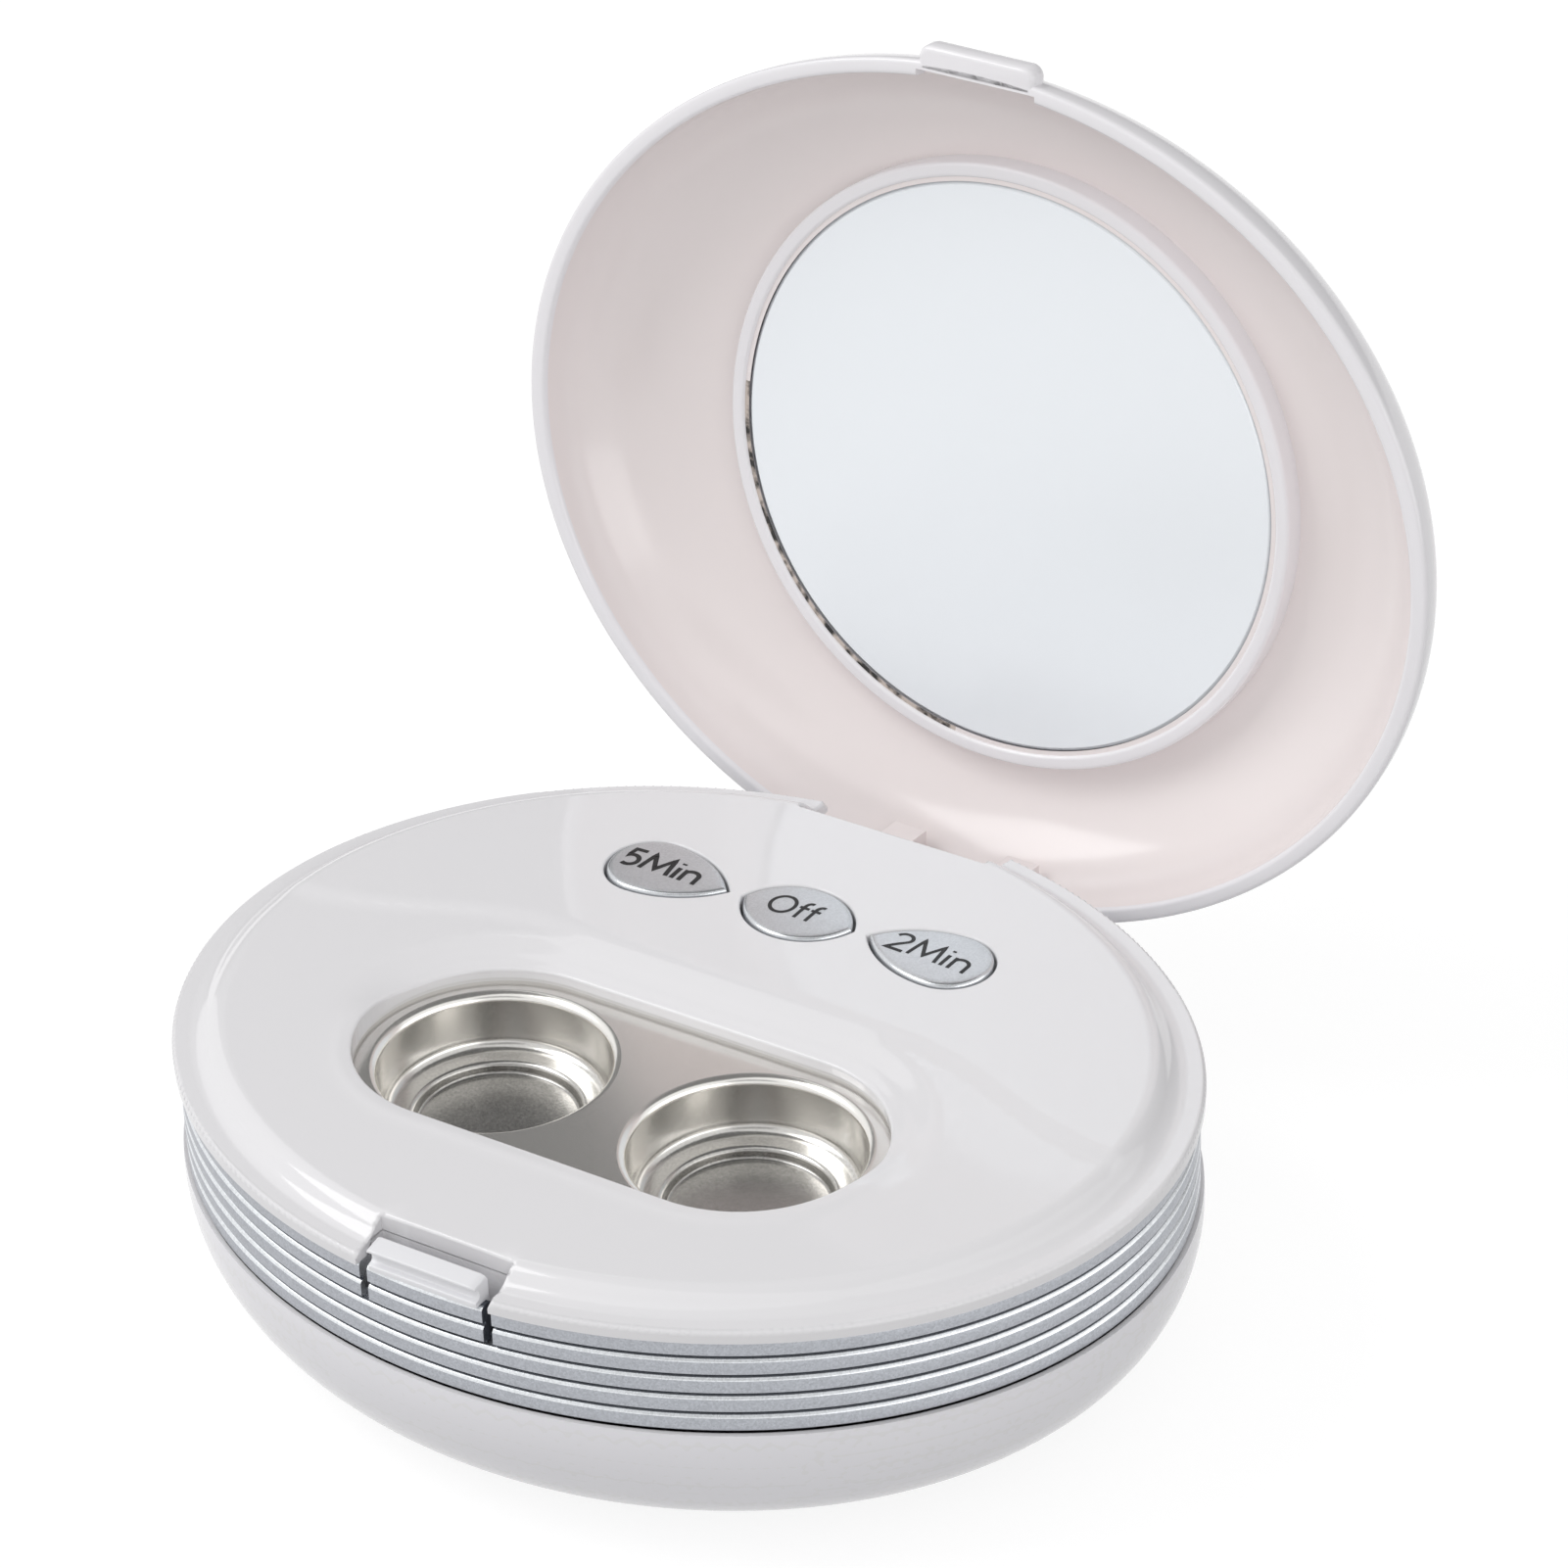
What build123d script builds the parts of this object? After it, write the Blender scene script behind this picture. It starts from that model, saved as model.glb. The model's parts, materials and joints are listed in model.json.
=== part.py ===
from build123d import *
import os
from math import atan2, cos, degrees, radians, sin, sqrt

# An oval contact lens cleaner: two steel cups in a glossy deck, three timer buttons, a ribbed
# silver band and a hinged lid with a round mirror.
# +Z is up, +Y points to the hinge, +X runs along the two cups, and the origin is on the table
# under the middle of the body. Lengths are millimetres. Oval shapes are turned profiles,
# squeezed along Y. The lid is drawn shut and then turned to its open stop.

os.makedirs("parts", exist_ok=True)

# ---------------------------------------------------------------- driving dimensions
# Body
half_width = 50.0            # middle to the side of the deck's flange
body_oval = 0.856            # depth over width of the body
base_z = 1.0                 # underside of the case above the table
shell_wall = 2.0
bowl_flat_radius = half_width - 16  # flat underside, measured along X
bowl_inset = 0.1             # bowl's widest part inside the flange
bowl_widest_z = 15.5
parting_z = 16.8             # bowl meets band
band_height = 10.2
band_inset = 0.5             # rib crests inside the flange
band_thickness = 2.1
rib_count = 5
rib_depth = 0.55
rib_gap = 0.35
rib_bevel = 0.4
spigot_gap = 0.2             # band slips over the bowl's and the deck's spigots
spigot_wall = 1.8
spigot_height = 2.2
edge_round = 0.5
cutter = 16.0                # length of cuts that run out through the side
weld = 0.2                   # overlap of joined shapes

# Deck
flange_thickness = 1.3
flange_lip = 1.6             # flat of the flange outside the shoulder
shoulder_width = 4.0
deck_rise = 3.4              # top of the deck over the flange's lower edge
deck_crown = 0.25
deck_wall = 2.2

# Cup tray
cup_x = 13.9
cup_y = -10.9
cup_wall_radius = 10.9
cup_rim_round = 0.9
cup_taper = 0.25             # wall leans in by this much
cup_corner = 1.15            # round between the wall and the ledge
cup_ledge_depth = 5.65
cup_ledge_radius = 8.4       # inner edge of the ledge
cup_step_round = 0.6
cup_depth = 6.8
cup_floor_round = 0.35
tray_sheet = 0.5
tray_sink = 2.7              # tray under the top of the deck
opening_radius = 13.1        # ends of the deck's opening, about the cup axes
bead_width = 1.9
bead_height = 0.35
bead_round = 0.3
tray_margin = 2.3            # tray hidden under the deck round the opening
ear_reach = 12.2             # tray's screw ears, off the cup axes in X and Y
ear_radius = 2.8
gasket_width = 1.2
gasket_inset = 0.2
tray_screw_radius = 0.8
tray_screw_length = 2.4

# Buttons
button_y = 20.4
button_pitch = 14.5
button_shift = -0.25         # the row sits a little left of the middle
button_length = 13.0
leaf_length = 12.0
button_half_height = 4.35
button_stand = 0.5           # cap above the deck
button_round = 0.4           # height of the bevelled edge
button_gap = 0.25
button_travel = 0.5
button_flange = 0.7
button_flange_thickness = 0.8
flange_play = 0.1
switch_gap = 0.05            # stem to plunger with the button right down
switch_side = 6.0
switch_height = 3.4
plunger_radius = 1.7
plunger_height = 0.8
stem_radius = 2.0
stem_length = 0.35

# Circuit board
board_length = half_width - 2
board_depth = 29.0
board_setback = 21.0         # board's middle in front of the hinge
board_thickness = 1.6
board_post_inset = 3.0       # front posts, from the board's corners
board_post_rear_inset = 2.5
board_post_radius = 2.4
board_screw_radius = 0.9
board_screw_length = 5.0
chip_length = 10.0
chip_width = 4.0
chip_height = 1.6
chip_inset = 6.5             # from the board's front edge
leg_pitch = 1.27
coil_radius = 4.5
coil_height = 6.5
coil_offset = (14.0, 4.0)    # from the board's middle
capacitor_radius = 3.15
capacitor_height = 11.0
capacitor_offset = (-14.0, 5.0)

# Transducers
transducer_radius = 6.5
transducer_thickness = 2.2
lead_radius = 0.45
lead_spacing = 3.0
lead_z = 16.6
lead_end_inset = 2.5         # from the board's front edge
lead_bend = 0.8
battery_lead_radius = 0.6
battery_lead_z = 18.0
positive_end_offset = (5.25, 8.5)  # from the contact's tail and the board's front edge
negative_end_offset = (6.45, 0.9)

# Battery bay, for two AAA cells side by side
cell_radius = 5.25
cell_length = 44.5
cell_nub_length = 1.0
cell_nub_radius = 1.9
cell_spacing = 11.2
cell_play = 0.4              # round each cell
spring_room = 5.7
contact_thickness = 0.3
contact_side = 8.0
contact_tail = 2.0
bay_wall = 1.4
bay_ceiling = 1.5
spring_sheet = 0.3           # bowed leaf springs
spring_half_height = 3.4
spring_width = 4.0
spring_clearance = 0.1       # bow to cell, foot to contact
tail_rise = 1.0              # contact's tail above the bay

# Battery door
door_thickness = 1.5
door_ledge_x = 1.5           # rebate beyond the bay wall
door_ledge_y = 0.4
door_gap = 0.2
door_top_gap = 0.1
peg_radius = 0.4
peg_length = 1.0
grip_inset = 5.0
grip_pitch = 2.0
grip_count = 4
grip_length = 14.0

# Feet and case screws
foot_x = 20.0
foot_y = 18.5
foot_radius = 3.5
foot_recess = 0.3
post_x = half_width - 17
post_y = 15.0
post_radius = 3.2
post_meet_z = 12.0           # deck posts stand on the bowl's bosses here
case_screw_radius = 1.35
case_screw_length = 15.0
counterbore_z = 5.0
counterbore_radius = 3.0

# Lid
lid_oval = 0.875
lid_gap = 0.15               # shut rim above the flange
lid_wall = 1.8
lid_height = 12.4
lid_top_radius = half_width - 18    # flat top, measured along X
lid_floor_radius = half_width - 14.5  # flat ceiling inside
rim_round = 0.5
lid_open_angle = 95.6
mirror_inset = 2.6           # glass inside the flat top
mirror_radius = lid_top_radius - mirror_inset
mirror_bevel = 0.4
mirror_thickness = 1.8
mirror_gap = 0.4
mirror_depth = 8.4           # rim down to the glass
pad_thickness = 0.4
bead_ring_width = 1.5
bead_ring_stand = 0.3        # bead above the glass
lip_half = 6.2
lip_reach = 1.3              # thumb lip in front of the rim
lip_root = 1.0               # lip's root inside the wall
lip_height = 2.6
lip_corner = 1.2
hook_height = 0.3            # rim left under the latch's recess
hook_depth = 0.2             # reach of that rim under the nose
hook_room = 0.95             # recess's wall, from the rim's outer side
hook_side_room = 0.6

# Hinge
hinge_y = half_width * lid_oval - 3.75
hinge_z = 21.4
pin_radius = 1.0
pin_play = 0.05
pin_end_gap = 0.1
knuckle_radius = 2.2
lug_inner = 4.7
lug_outer = 8.3
lug_height = 3.8             # lug root above the shut rim
lug_depth = 3.2
lug_offset = 0.5             # arm's middle behind the pin
pocket_half = 10.4
pocket_front_y = hinge_y - 3
pocket_floor_z = 18.7
housing_wall = 1.4
knuckle_gap = 0.3
ear_depth = 2.2              # ears' webs, behind the pocket's front
coil_left = -4.25
coil_right = -1.9
coil_pitch = 0.53
lid_spring_radius = 1.6
lid_spring_wire = 0.25
lid_spring_reach = 0.3       # leg above the flange's rim line
lid_spring_tip = 2.7

# Latch
notch_half = 7.1
notch_depth = 4.5            # into the side of the flange
slot_width = 0.9
latch_ribs = 2               # ribs on the tab's face
latch_root_gap = 0.05        # each side of the flexing root
latch_face_thickness = 1.5
catch_half = 5.8
catch_top_z = 29.6           # back edge of the sloping top
catch_back = 1.77            # back edge behind the tab's face
catch_slope = 0.35           # fall of the top towards the nose
catch_nose = 0.08            # nose in front of the tab's face
catch_nose_height = 0.3
catch_neck = 0.77            # groove under the nose, behind the tab's face
catch_shelf = 0.5
catch_shelf_room = 0.65
catch_room = 0.6             # above the catch in the shut lid
notch_wall = 1.6

# ---------------------------------------------------------------- derived places
notch_front_y = notch_depth - half_width * body_oval
board_y = hinge_y - board_setback
board_front_y = board_y - board_depth / 2
board_post_x = board_length / 2 - board_post_inset
board_post_y = board_front_y + board_post_inset
board_post_rear_y = board_y + board_depth / 2 - board_post_rear_inset
chip_y = board_front_y + chip_inset
coil_place = (coil_offset[0], board_y + coil_offset[1])
capacitor_place = (capacitor_offset[0], board_y + capacitor_offset[1])
lead_end_y = board_front_y + lead_end_inset
flange_z = parting_z + band_height
flange_top_z = flange_z + flange_thickness
deck_top_z = flange_z + deck_rise
deck_under_z = deck_top_z - deck_wall
bowl_widest = half_width - bowl_inset
band_crest = half_width - band_inset
band_inner = band_crest - band_thickness
spigot_outer = band_inner - spigot_gap
spigot_inner = spigot_outer - spigot_wall
shoulder_outer = half_width - flange_lip
shoulder_inner = shoulder_outer - shoulder_width
tray_z = deck_top_z - tray_sink
tray_under_z = tray_z - tray_sheet
wall_foot_radius = cup_wall_radius - cup_taper
cup_floor_radius = cup_ledge_radius - cup_step_round
cup_floor_z = tray_z - cup_depth
transducer_top_z = cup_floor_z - tray_sheet
ear_places = [(sx * (cup_x + ear_reach), cup_y + sy * ear_reach) for sx in (-1, 1) for sy in (-1, 1)]
post_places = [(sx * post_x, sy * post_y) for sx in (-1, 1) for sy in (-1, 1)]
foot_places = {
    "foot_front_left": (-foot_x, -foot_y),
    "foot_front_right": (foot_x, -foot_y),
    "foot_rear_left": (-foot_x, foot_y),
    "foot_rear_right": (foot_x, foot_y),
}
button_places = {
    "button_5min": button_shift - button_pitch,
    "button_off": button_shift,
    "button_2min": button_shift + button_pitch,
}
cap_flange_top_z = deck_under_z - flange_play
stem_bottom_z = cap_flange_top_z - button_flange_thickness - stem_length
board_top_z = stem_bottom_z - button_travel - switch_gap - plunger_height - switch_height
board_under_z = board_top_z - board_thickness
board_posts = [(-board_post_x, board_post_y), (board_post_x, board_post_y), (0, board_post_rear_y)]
door_top_z = base_z + door_thickness
bay_floor_z = door_top_z + door_top_gap
cell_z = bay_floor_z + cell_play + cell_radius
bay_top_z = cell_z + cell_radius + cell_play
tail_top_z = bay_top_z + bay_ceiling + tail_rise
bay_length = 2 * contact_thickness + cell_length + spring_room
bay_width = cell_spacing + 2 * (cell_radius + cell_play)
rebate_length = bay_length + 2 * (bay_wall + door_ledge_x)
rebate_width = bay_width + 2 * (bay_wall + door_ledge_y)
door_length = rebate_length - 2 * door_gap
door_width = rebate_width - 2 * door_gap
door_axis_x = -door_length / 2 + door_thickness / 2
door_axis_z = base_z + door_thickness / 2
cell_rows = (-cell_spacing / 2, cell_spacing / 2)
tail_x = -bay_length / 2 + contact_thickness / 2
positive_end = (tail_x + positive_end_offset[0], board_front_y + positive_end_offset[1])
negative_end = (tail_x + negative_end_offset[0], board_front_y + negative_end_offset[1])
latch_root_z = flange_z - latch_ribs * band_height / rib_count
notch_floor_z = latch_root_z - 0.7
button_top_z = deck_top_z + button_stand
lid_rim_z = flange_top_z + lid_gap
lid_floor_z = lid_rim_z + mirror_depth + mirror_thickness + pad_thickness
lid_inner_height = lid_floor_z - lid_rim_z
mirror_z = lid_rim_z + mirror_depth
well_radius = mirror_radius + mirror_gap
rim_front_y = half_width * lid_oval
lip_front_y = -rim_front_y - lip_reach
lug_top_z = lid_rim_z + lug_height
leg_top_z = lid_rim_z + lid_spring_reach
ear_back_y = pocket_front_y + ear_depth
ear_spans = [
    (-pocket_half, -lug_outer - knuckle_gap),
    (coil_right + knuckle_gap, lug_inner - knuckle_gap),
    (lug_outer + knuckle_gap, pocket_half),
]
latch_half = notch_half - slot_width
tab_front_y = -band_crest * body_oval
tab_back_y = -(band_crest - latch_face_thickness) * body_oval


# ---------------------------------------------------------------- shared shapes
def stadium(end_radius):
    """Outline round both cup axes."""
    with Locations((0, cup_y)):
        SlotCenterToCenter(2 * cup_x, 2 * end_radius)


def cap_outline(name, grow=0.0):
    """A button's outline, teardrop or leaf, grown by a margin."""
    middle = button_places[name]
    half = (leaf_length if name == "button_off" else button_length) / 2
    height = button_half_height
    point = -1 if name == "button_2min" else 1
    tip = (middle + point * half, button_y)
    with BuildLine() as outline:
        if name == "button_off":
            far_tip = (middle - half, button_y)
            ThreePointArc(far_tip, (middle, button_y + height), tip)
            ThreePointArc(tip, (middle, button_y - height), far_tip)
        else:
            round_x = middle - point * (half - height)
            top = (round_x, button_y + height)
            bottom = (round_x, button_y - height)
            ThreePointArc(top, (middle - point * half, button_y), bottom)
            TangentArc(top, tip, tangent=(point, 0))
            TangentArc(bottom, tip, tangent=(point, 0))
    make_face(outline.edges())
    if grow:
        offset(amount=grow)


def disc_stack(places, steps):
    """Coaxial discs at each place: steps are (radius, lower z, upper z, mode)."""
    for radius, low, high, mode in steps:
        with BuildSketch(Plane.XY.offset(low)) as face:
            with Locations(*places):
                Circle(radius)
        extrude(face.sketch, amount=high - low, mode=mode)


def screws(places, seat_z, head_radius, head_height, shank_radius, shank_length):
    """Cross-head screws driven upwards, with their heads seated at seat_z."""
    disc_stack(places, [
        (head_radius, seat_z - head_height, seat_z, Mode.ADD),
        (shank_radius, seat_z, seat_z + shank_length, Mode.ADD),
    ])
    with BuildSketch(Plane.XY.offset(seat_z - head_height)) as cross:
        with Locations(*places):
            Rectangle(head_radius * 1.1, head_radius * 0.28)
            Rectangle(head_radius * 0.28, head_radius * 1.1)
    extrude(cross.sketch, amount=head_height / 2, mode=Mode.SUBTRACT)


def lead(points, bend, radius):
    """A round wire through straight runs joined by tangent arcs."""
    with BuildLine() as route:
        FilletPolyline(*points, radius=bend)
    start = Plane(origin=points[0], z_dir=Vector(*points[1]) - Vector(*points[0]))
    with BuildSketch(start) as section:
        Circle(radius)
    sweep(section.sketch, path=route.wire())


def coil(pitch, length, radius, start, direction, wire_radius):
    """A round-wire helix."""
    with BuildLine() as turns:
        Helix(pitch=pitch, height=length, radius=radius, center=start, direction=direction)
    with BuildSketch(Plane(origin=turns.line @ 0, z_dir=turns.line % 0)) as section:
        Circle(wire_radius)
    sweep(section.sketch, path=turns.wire())


def opened(piece):
    """Turns a piece that was drawn with the lid shut to the lid's open stop."""
    return piece.rotate(Axis((0, hinge_y, hinge_z), (1, 0, 0)), -lid_open_angle)


# ---------------------------------------------------------------- lower case
bowl_rise = bowl_widest_z - base_z
top_angle = degrees(atan2((parting_z - bowl_widest_z) / bowl_rise, 1.0))
inner_drop = 8.0
with BuildPart() as bottom_shell:
    with BuildSketch(Plane.XZ):
        with BuildLine():
            outer = EllipticalCenterArc(
                (bowl_flat_radius, bowl_widest_z), bowl_widest - bowl_flat_radius, bowl_rise,
                start_angle=-90, arc_size=90 + top_angle)
            inner = EllipticalCenterArc(
                (bowl_flat_radius, bowl_widest_z), bowl_widest - bowl_flat_radius - shell_wall,
                bowl_rise - shell_wall, start_angle=-90, arc_size=90 - inner_drop)
            Polyline(
                outer @ 1, ((outer @ 1).X - edge_round, parting_z), (spigot_outer, parting_z),
                (spigot_outer, parting_z + spigot_height), (spigot_inner, parting_z + spigot_height),
                (spigot_inner, parting_z - 1), inner @ 1)
            Polyline(inner @ 0, (0, base_z + shell_wall), (0, base_z), outer @ 0)
        make_face()
    revolve(axis=Axis.Z)
    scale(by=(1, body_oval, 1))
    # battery bay
    with BuildSketch(Plane.XY.offset(bay_floor_z)):
        RectangleRounded(rebate_length + 2 * bay_wall, rebate_width + 2 * bay_wall, 1)
    extrude(amount=bay_wall)
    with BuildSketch(Plane.XY.offset(bay_floor_z)):
        Rectangle(bay_length + 2 * bay_wall, bay_width + 2 * bay_wall)
    extrude(amount=bay_top_z + bay_ceiling - bay_floor_z)
    with BuildSketch(Plane.XY.offset(base_z)):
        Rectangle(bay_length, bay_width)
    extrude(amount=bay_top_z - base_z, mode=Mode.SUBTRACT)
    with BuildSketch(Plane.XY.offset(base_z)):
        Rectangle(rebate_length, rebate_width)
    extrude(amount=bay_floor_z - base_z, mode=Mode.SUBTRACT)
    with BuildSketch(Plane.XY.offset(base_z)):
        with Locations((rebate_length / 2, 0)):
            Circle(4)
    extrude(amount=door_thickness / 2, mode=Mode.SUBTRACT)
    with BuildSketch(Plane.XY.offset(bay_top_z)):
        with Locations(*[(tail_x, cell_y) for cell_y in cell_rows]):
            Rectangle(contact_thickness + 0.6, contact_tail + 0.4)
    extrude(amount=bay_ceiling, mode=Mode.SUBTRACT)
    with BuildSketch(Plane.XZ.offset(-rebate_width / 2 - peg_length - 0.1)):
        with Locations((door_axis_x, door_axis_z)):
            Circle(peg_radius + pin_play)
    extrude(amount=rebate_width + 2 * peg_length + 0.2, mode=Mode.SUBTRACT)
    # screw bosses and foot recesses
    disc_stack(post_places, [
        (post_radius + 0.9, counterbore_z - 1.5, post_meet_z, Mode.ADD),
        (counterbore_radius, 0, counterbore_z, Mode.SUBTRACT),
        (case_screw_radius + 0.25, counterbore_z, post_meet_z, Mode.SUBTRACT),
    ])
    with BuildSketch(Plane.XY.offset(base_z)):
        with Locations(*foot_places.values()):
            Circle(foot_radius)
    extrude(amount=foot_recess, mode=Mode.SUBTRACT)
    # room for the hinge housing
    with BuildSketch(Plane.XY.offset(parting_z)):
        with Locations((0, hinge_y)):
            Rectangle(2 * (pocket_half + housing_wall + 0.4), cutter)
    extrude(amount=spigot_height, mode=Mode.SUBTRACT)
bottom_shell.part.label = "bottom_shell"
export_step(bottom_shell.part, "parts/bottom_shell.step")

# ---------------------------------------------------------------- ribbed band
rib_pitch = band_height / rib_count
rib_foot = band_crest - rib_depth


def band_profile(inner_radius):
    """Half section of the ribbed ring: each rib has an undercut foot and a bevelled top edge."""
    outline = [(inner_radius, parting_z)]
    for rib in range(rib_count):
        low = parting_z + rib * rib_pitch
        high = low + rib_pitch
        outline += [(rib_foot, low), (rib_foot, low + rib_gap), (band_crest, low + rib_gap)]
        outline += [(band_crest, high - rib_bevel), (band_crest - rib_bevel, high)]
    outline += [(inner_radius, flange_z)]
    with BuildLine() as section:
        Polyline(*outline, close=True)
    make_face(section.edges())


with BuildPart() as silver_band:
    with BuildSketch(Plane.XZ):
        band_profile(band_inner)
    revolve(axis=Axis.Z)
    scale(by=(1, body_oval, 1))
    with BuildSketch(Plane.XY.offset(latch_root_z - latch_root_gap)):
        with Locations((0, tab_front_y)):
            Rectangle(2 * notch_half, cutter)
    extrude(amount=band_height, mode=Mode.SUBTRACT)
    with BuildSketch(Plane.XY.offset(pocket_floor_z)):
        with Locations((0, hinge_y)):
            Rectangle(2 * pocket_half, cutter)
    extrude(amount=band_height, mode=Mode.SUBTRACT)
silver_band.part.label = "silver_band"
export_step(silver_band.part, "parts/silver_band.step")

# ---------------------------------------------------------------- deck
shoulder_middle = ((shoulder_inner + shoulder_outer) / 2, (deck_top_z + flange_top_z) / 2)
with BuildPart() as deck:
    with BuildSketch(Plane.XZ):
        with BuildLine():
            ThreePointArc(
                (0, deck_top_z + deck_crown), (shoulder_inner / 2, deck_top_z + 0.75 * deck_crown),
                (shoulder_inner, deck_top_z))
            TangentArc((shoulder_inner, deck_top_z), shoulder_middle, tangent=(1, 0))
            TangentArc((shoulder_outer, flange_top_z), shoulder_middle, tangent=(-1, 0))
            Line((shoulder_outer, flange_top_z), (half_width - edge_round, flange_top_z))
            TangentArc(
                (half_width - edge_round, flange_top_z), (half_width, flange_top_z - edge_round),
                tangent=(1, 0))
            Polyline(
                (half_width, flange_top_z - edge_round), (half_width, flange_z + 0.2),
                (half_width - 0.2, flange_z), (spigot_outer, flange_z),
                (spigot_outer, flange_z - spigot_height), (spigot_inner, flange_z - spigot_height),
                (spigot_inner, flange_z), (shoulder_inner, deck_under_z), (0, deck_under_z),
                (0, deck_top_z + deck_crown))
        make_face()
    revolve(axis=Axis.Z)
    scale(by=(1, body_oval, 1))
    # beaded opening over the cups
    with BuildSketch(Plane.XY.offset(deck_under_z)):
        stadium(opening_radius + bead_width)
    extrude(amount=deck_wall + deck_crown + bead_height)
    bead_edges = deck.faces().filter_by(GeomType.PLANE).sort_by(Axis.Z)[-1].edges()
    fillet(bead_edges, bead_round)
    with BuildSketch(Plane.XY.offset(deck_under_z)):
        stadium(opening_radius)
    extrude(amount=deck_wall + 2, mode=Mode.SUBTRACT)
    # button holes
    for name in button_places:
        with BuildSketch(Plane.XY.offset(deck_under_z)):
            cap_outline(name, button_gap)
        extrude(amount=deck_wall + 2, mode=Mode.SUBTRACT)
    # latch notch and its inner wall
    with BuildSketch(Plane.XY.offset(notch_floor_z)):
        with Locations((0, notch_front_y + notch_wall - cutter / 2)):
            Rectangle(2 * (notch_half + notch_wall), cutter)
        Ellipse(spigot_outer, spigot_outer * body_oval, mode=Mode.INTERSECT)
    extrude(amount=deck_under_z + weld - notch_floor_z)
    with BuildSketch(Plane.XY.offset(notch_floor_z)):
        with Locations((0, notch_front_y - cutter / 2)):
            Rectangle(2 * notch_half, cutter)
    extrude(amount=deck_rise + band_height, mode=Mode.SUBTRACT)
    # hinge housing, open at the back and at the top
    with BuildSketch(Plane.XY.offset(pocket_floor_z - housing_wall)):
        with Locations((0, pocket_front_y - housing_wall + cutter / 2)):
            Rectangle(2 * (pocket_half + housing_wall), cutter)
        Ellipse(spigot_outer, spigot_outer * body_oval, mode=Mode.INTERSECT)
    extrude(amount=deck_under_z + weld - pocket_floor_z + housing_wall)
    with BuildSketch(Plane.XY.offset(pocket_floor_z)):
        with Locations((0, pocket_front_y + cutter / 2)):
            Rectangle(2 * pocket_half, cutter)
    extrude(amount=deck_rise + band_height, mode=Mode.SUBTRACT)
    for left, right in ear_spans:
        with BuildSketch(Plane.YZ.offset(left)):
            with Locations((hinge_y, hinge_z)):
                Circle(knuckle_radius)
            with Locations(((pocket_front_y + ear_back_y) / 2, (pocket_floor_z + hinge_z) / 2)):
                Rectangle(ear_back_y - pocket_front_y + weld, hinge_z - pocket_floor_z + weld)
        extrude(amount=right - left)
    with BuildSketch(Plane.YZ.offset(-pocket_half)):
        with Locations((hinge_y, hinge_z)):
            Circle(pin_radius)
    extrude(amount=2 * pocket_half, mode=Mode.SUBTRACT)
    # posts for the case screws, the board and the tray
    disc_stack(post_places, [
        (post_radius, post_meet_z, deck_under_z + weld, Mode.ADD),
        (case_screw_radius, post_meet_z, counterbore_z + case_screw_length, Mode.SUBTRACT),
    ])
    disc_stack(board_posts, [
        (board_post_radius, board_top_z, deck_under_z + weld, Mode.ADD),
        (board_screw_radius, board_top_z, board_under_z + board_screw_length, Mode.SUBTRACT),
    ])
    disc_stack(ear_places, [
        (ear_radius - 0.3, tray_z, deck_under_z + weld, Mode.ADD),
        (tray_screw_radius, tray_z, tray_under_z + tray_screw_length, Mode.SUBTRACT),
    ])
deck.part.label = "deck"
export_step(deck.part, "parts/deck.step")

# ---------------------------------------------------------------- cup tray
with BuildPart() as cup_tray:
    with BuildSketch(Plane.XY.offset(tray_under_z)):
        stadium(opening_radius + tray_margin)
        with Locations(*ear_places):
            Circle(ear_radius)
        with Locations((-cup_x, cup_y), (cup_x, cup_y)):
            Circle(cup_wall_radius + cup_rim_round, mode=Mode.SUBTRACT)
    extrude(amount=tray_sheet)
    for side in (-1, 1):
        with BuildSketch(Plane(origin=(side * cup_x, cup_y, tray_z), x_dir=(1, 0, 0), z_dir=(0, -1, 0))):
            with BuildLine():
                rim = TangentArc(
                    (cup_wall_radius + cup_rim_round, 0), (cup_wall_radius, -cup_rim_round),
                    tangent=(-1, 0))
                wall = Line(rim @ 1, (wall_foot_radius, cup_corner - cup_ledge_depth))
                corner_end = (wall_foot_radius - cup_corner, -cup_ledge_depth)
                corner = TangentArc(wall @ 1, corner_end, tangent=(0, -1))
                ledge = Line(corner @ 1, (cup_ledge_radius, -cup_ledge_depth))
                step_end = (cup_floor_radius, -cup_ledge_depth - cup_step_round)
                step = TangentArc(ledge @ 1, step_end, tangent=(-1, 0))
                riser = Line(step @ 1, (cup_floor_radius, cup_floor_round - cup_depth))
                floor_start = (cup_floor_radius - cup_floor_round, -cup_depth)
                floor_arc = TangentArc(riser @ 1, floor_start, tangent=(0, -1))
                Line(floor_arc @ 1, (0, -cup_depth))
                offset(amount=tray_sheet, side=Side.LEFT, closed=True)
            make_face()
        revolve(axis=Axis((side * cup_x, cup_y, 0), (0, 0, 1)))
    for place in ear_places:
        with BuildSketch(Plane.XY.offset(tray_under_z)):
            with Locations(place):
                Circle(tray_screw_radius + 0.2)
        extrude(amount=tray_sheet, mode=Mode.SUBTRACT)
cup_tray.part.label = "cup_tray"
export_step(cup_tray.part, "parts/cup_tray.step")

with BuildPart() as tray_gasket:
    with BuildSketch(Plane.XY.offset(tray_z)):
        stadium(opening_radius + gasket_inset + gasket_width)
        with Locations((0, cup_y)):
            SlotCenterToCenter(2 * cup_x, 2 * (opening_radius + gasket_inset), mode=Mode.SUBTRACT)
    extrude(amount=deck_under_z - tray_z)
tray_gasket.part.label = "tray_gasket"
export_step(tray_gasket.part, "parts/tray_gasket.step")

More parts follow.
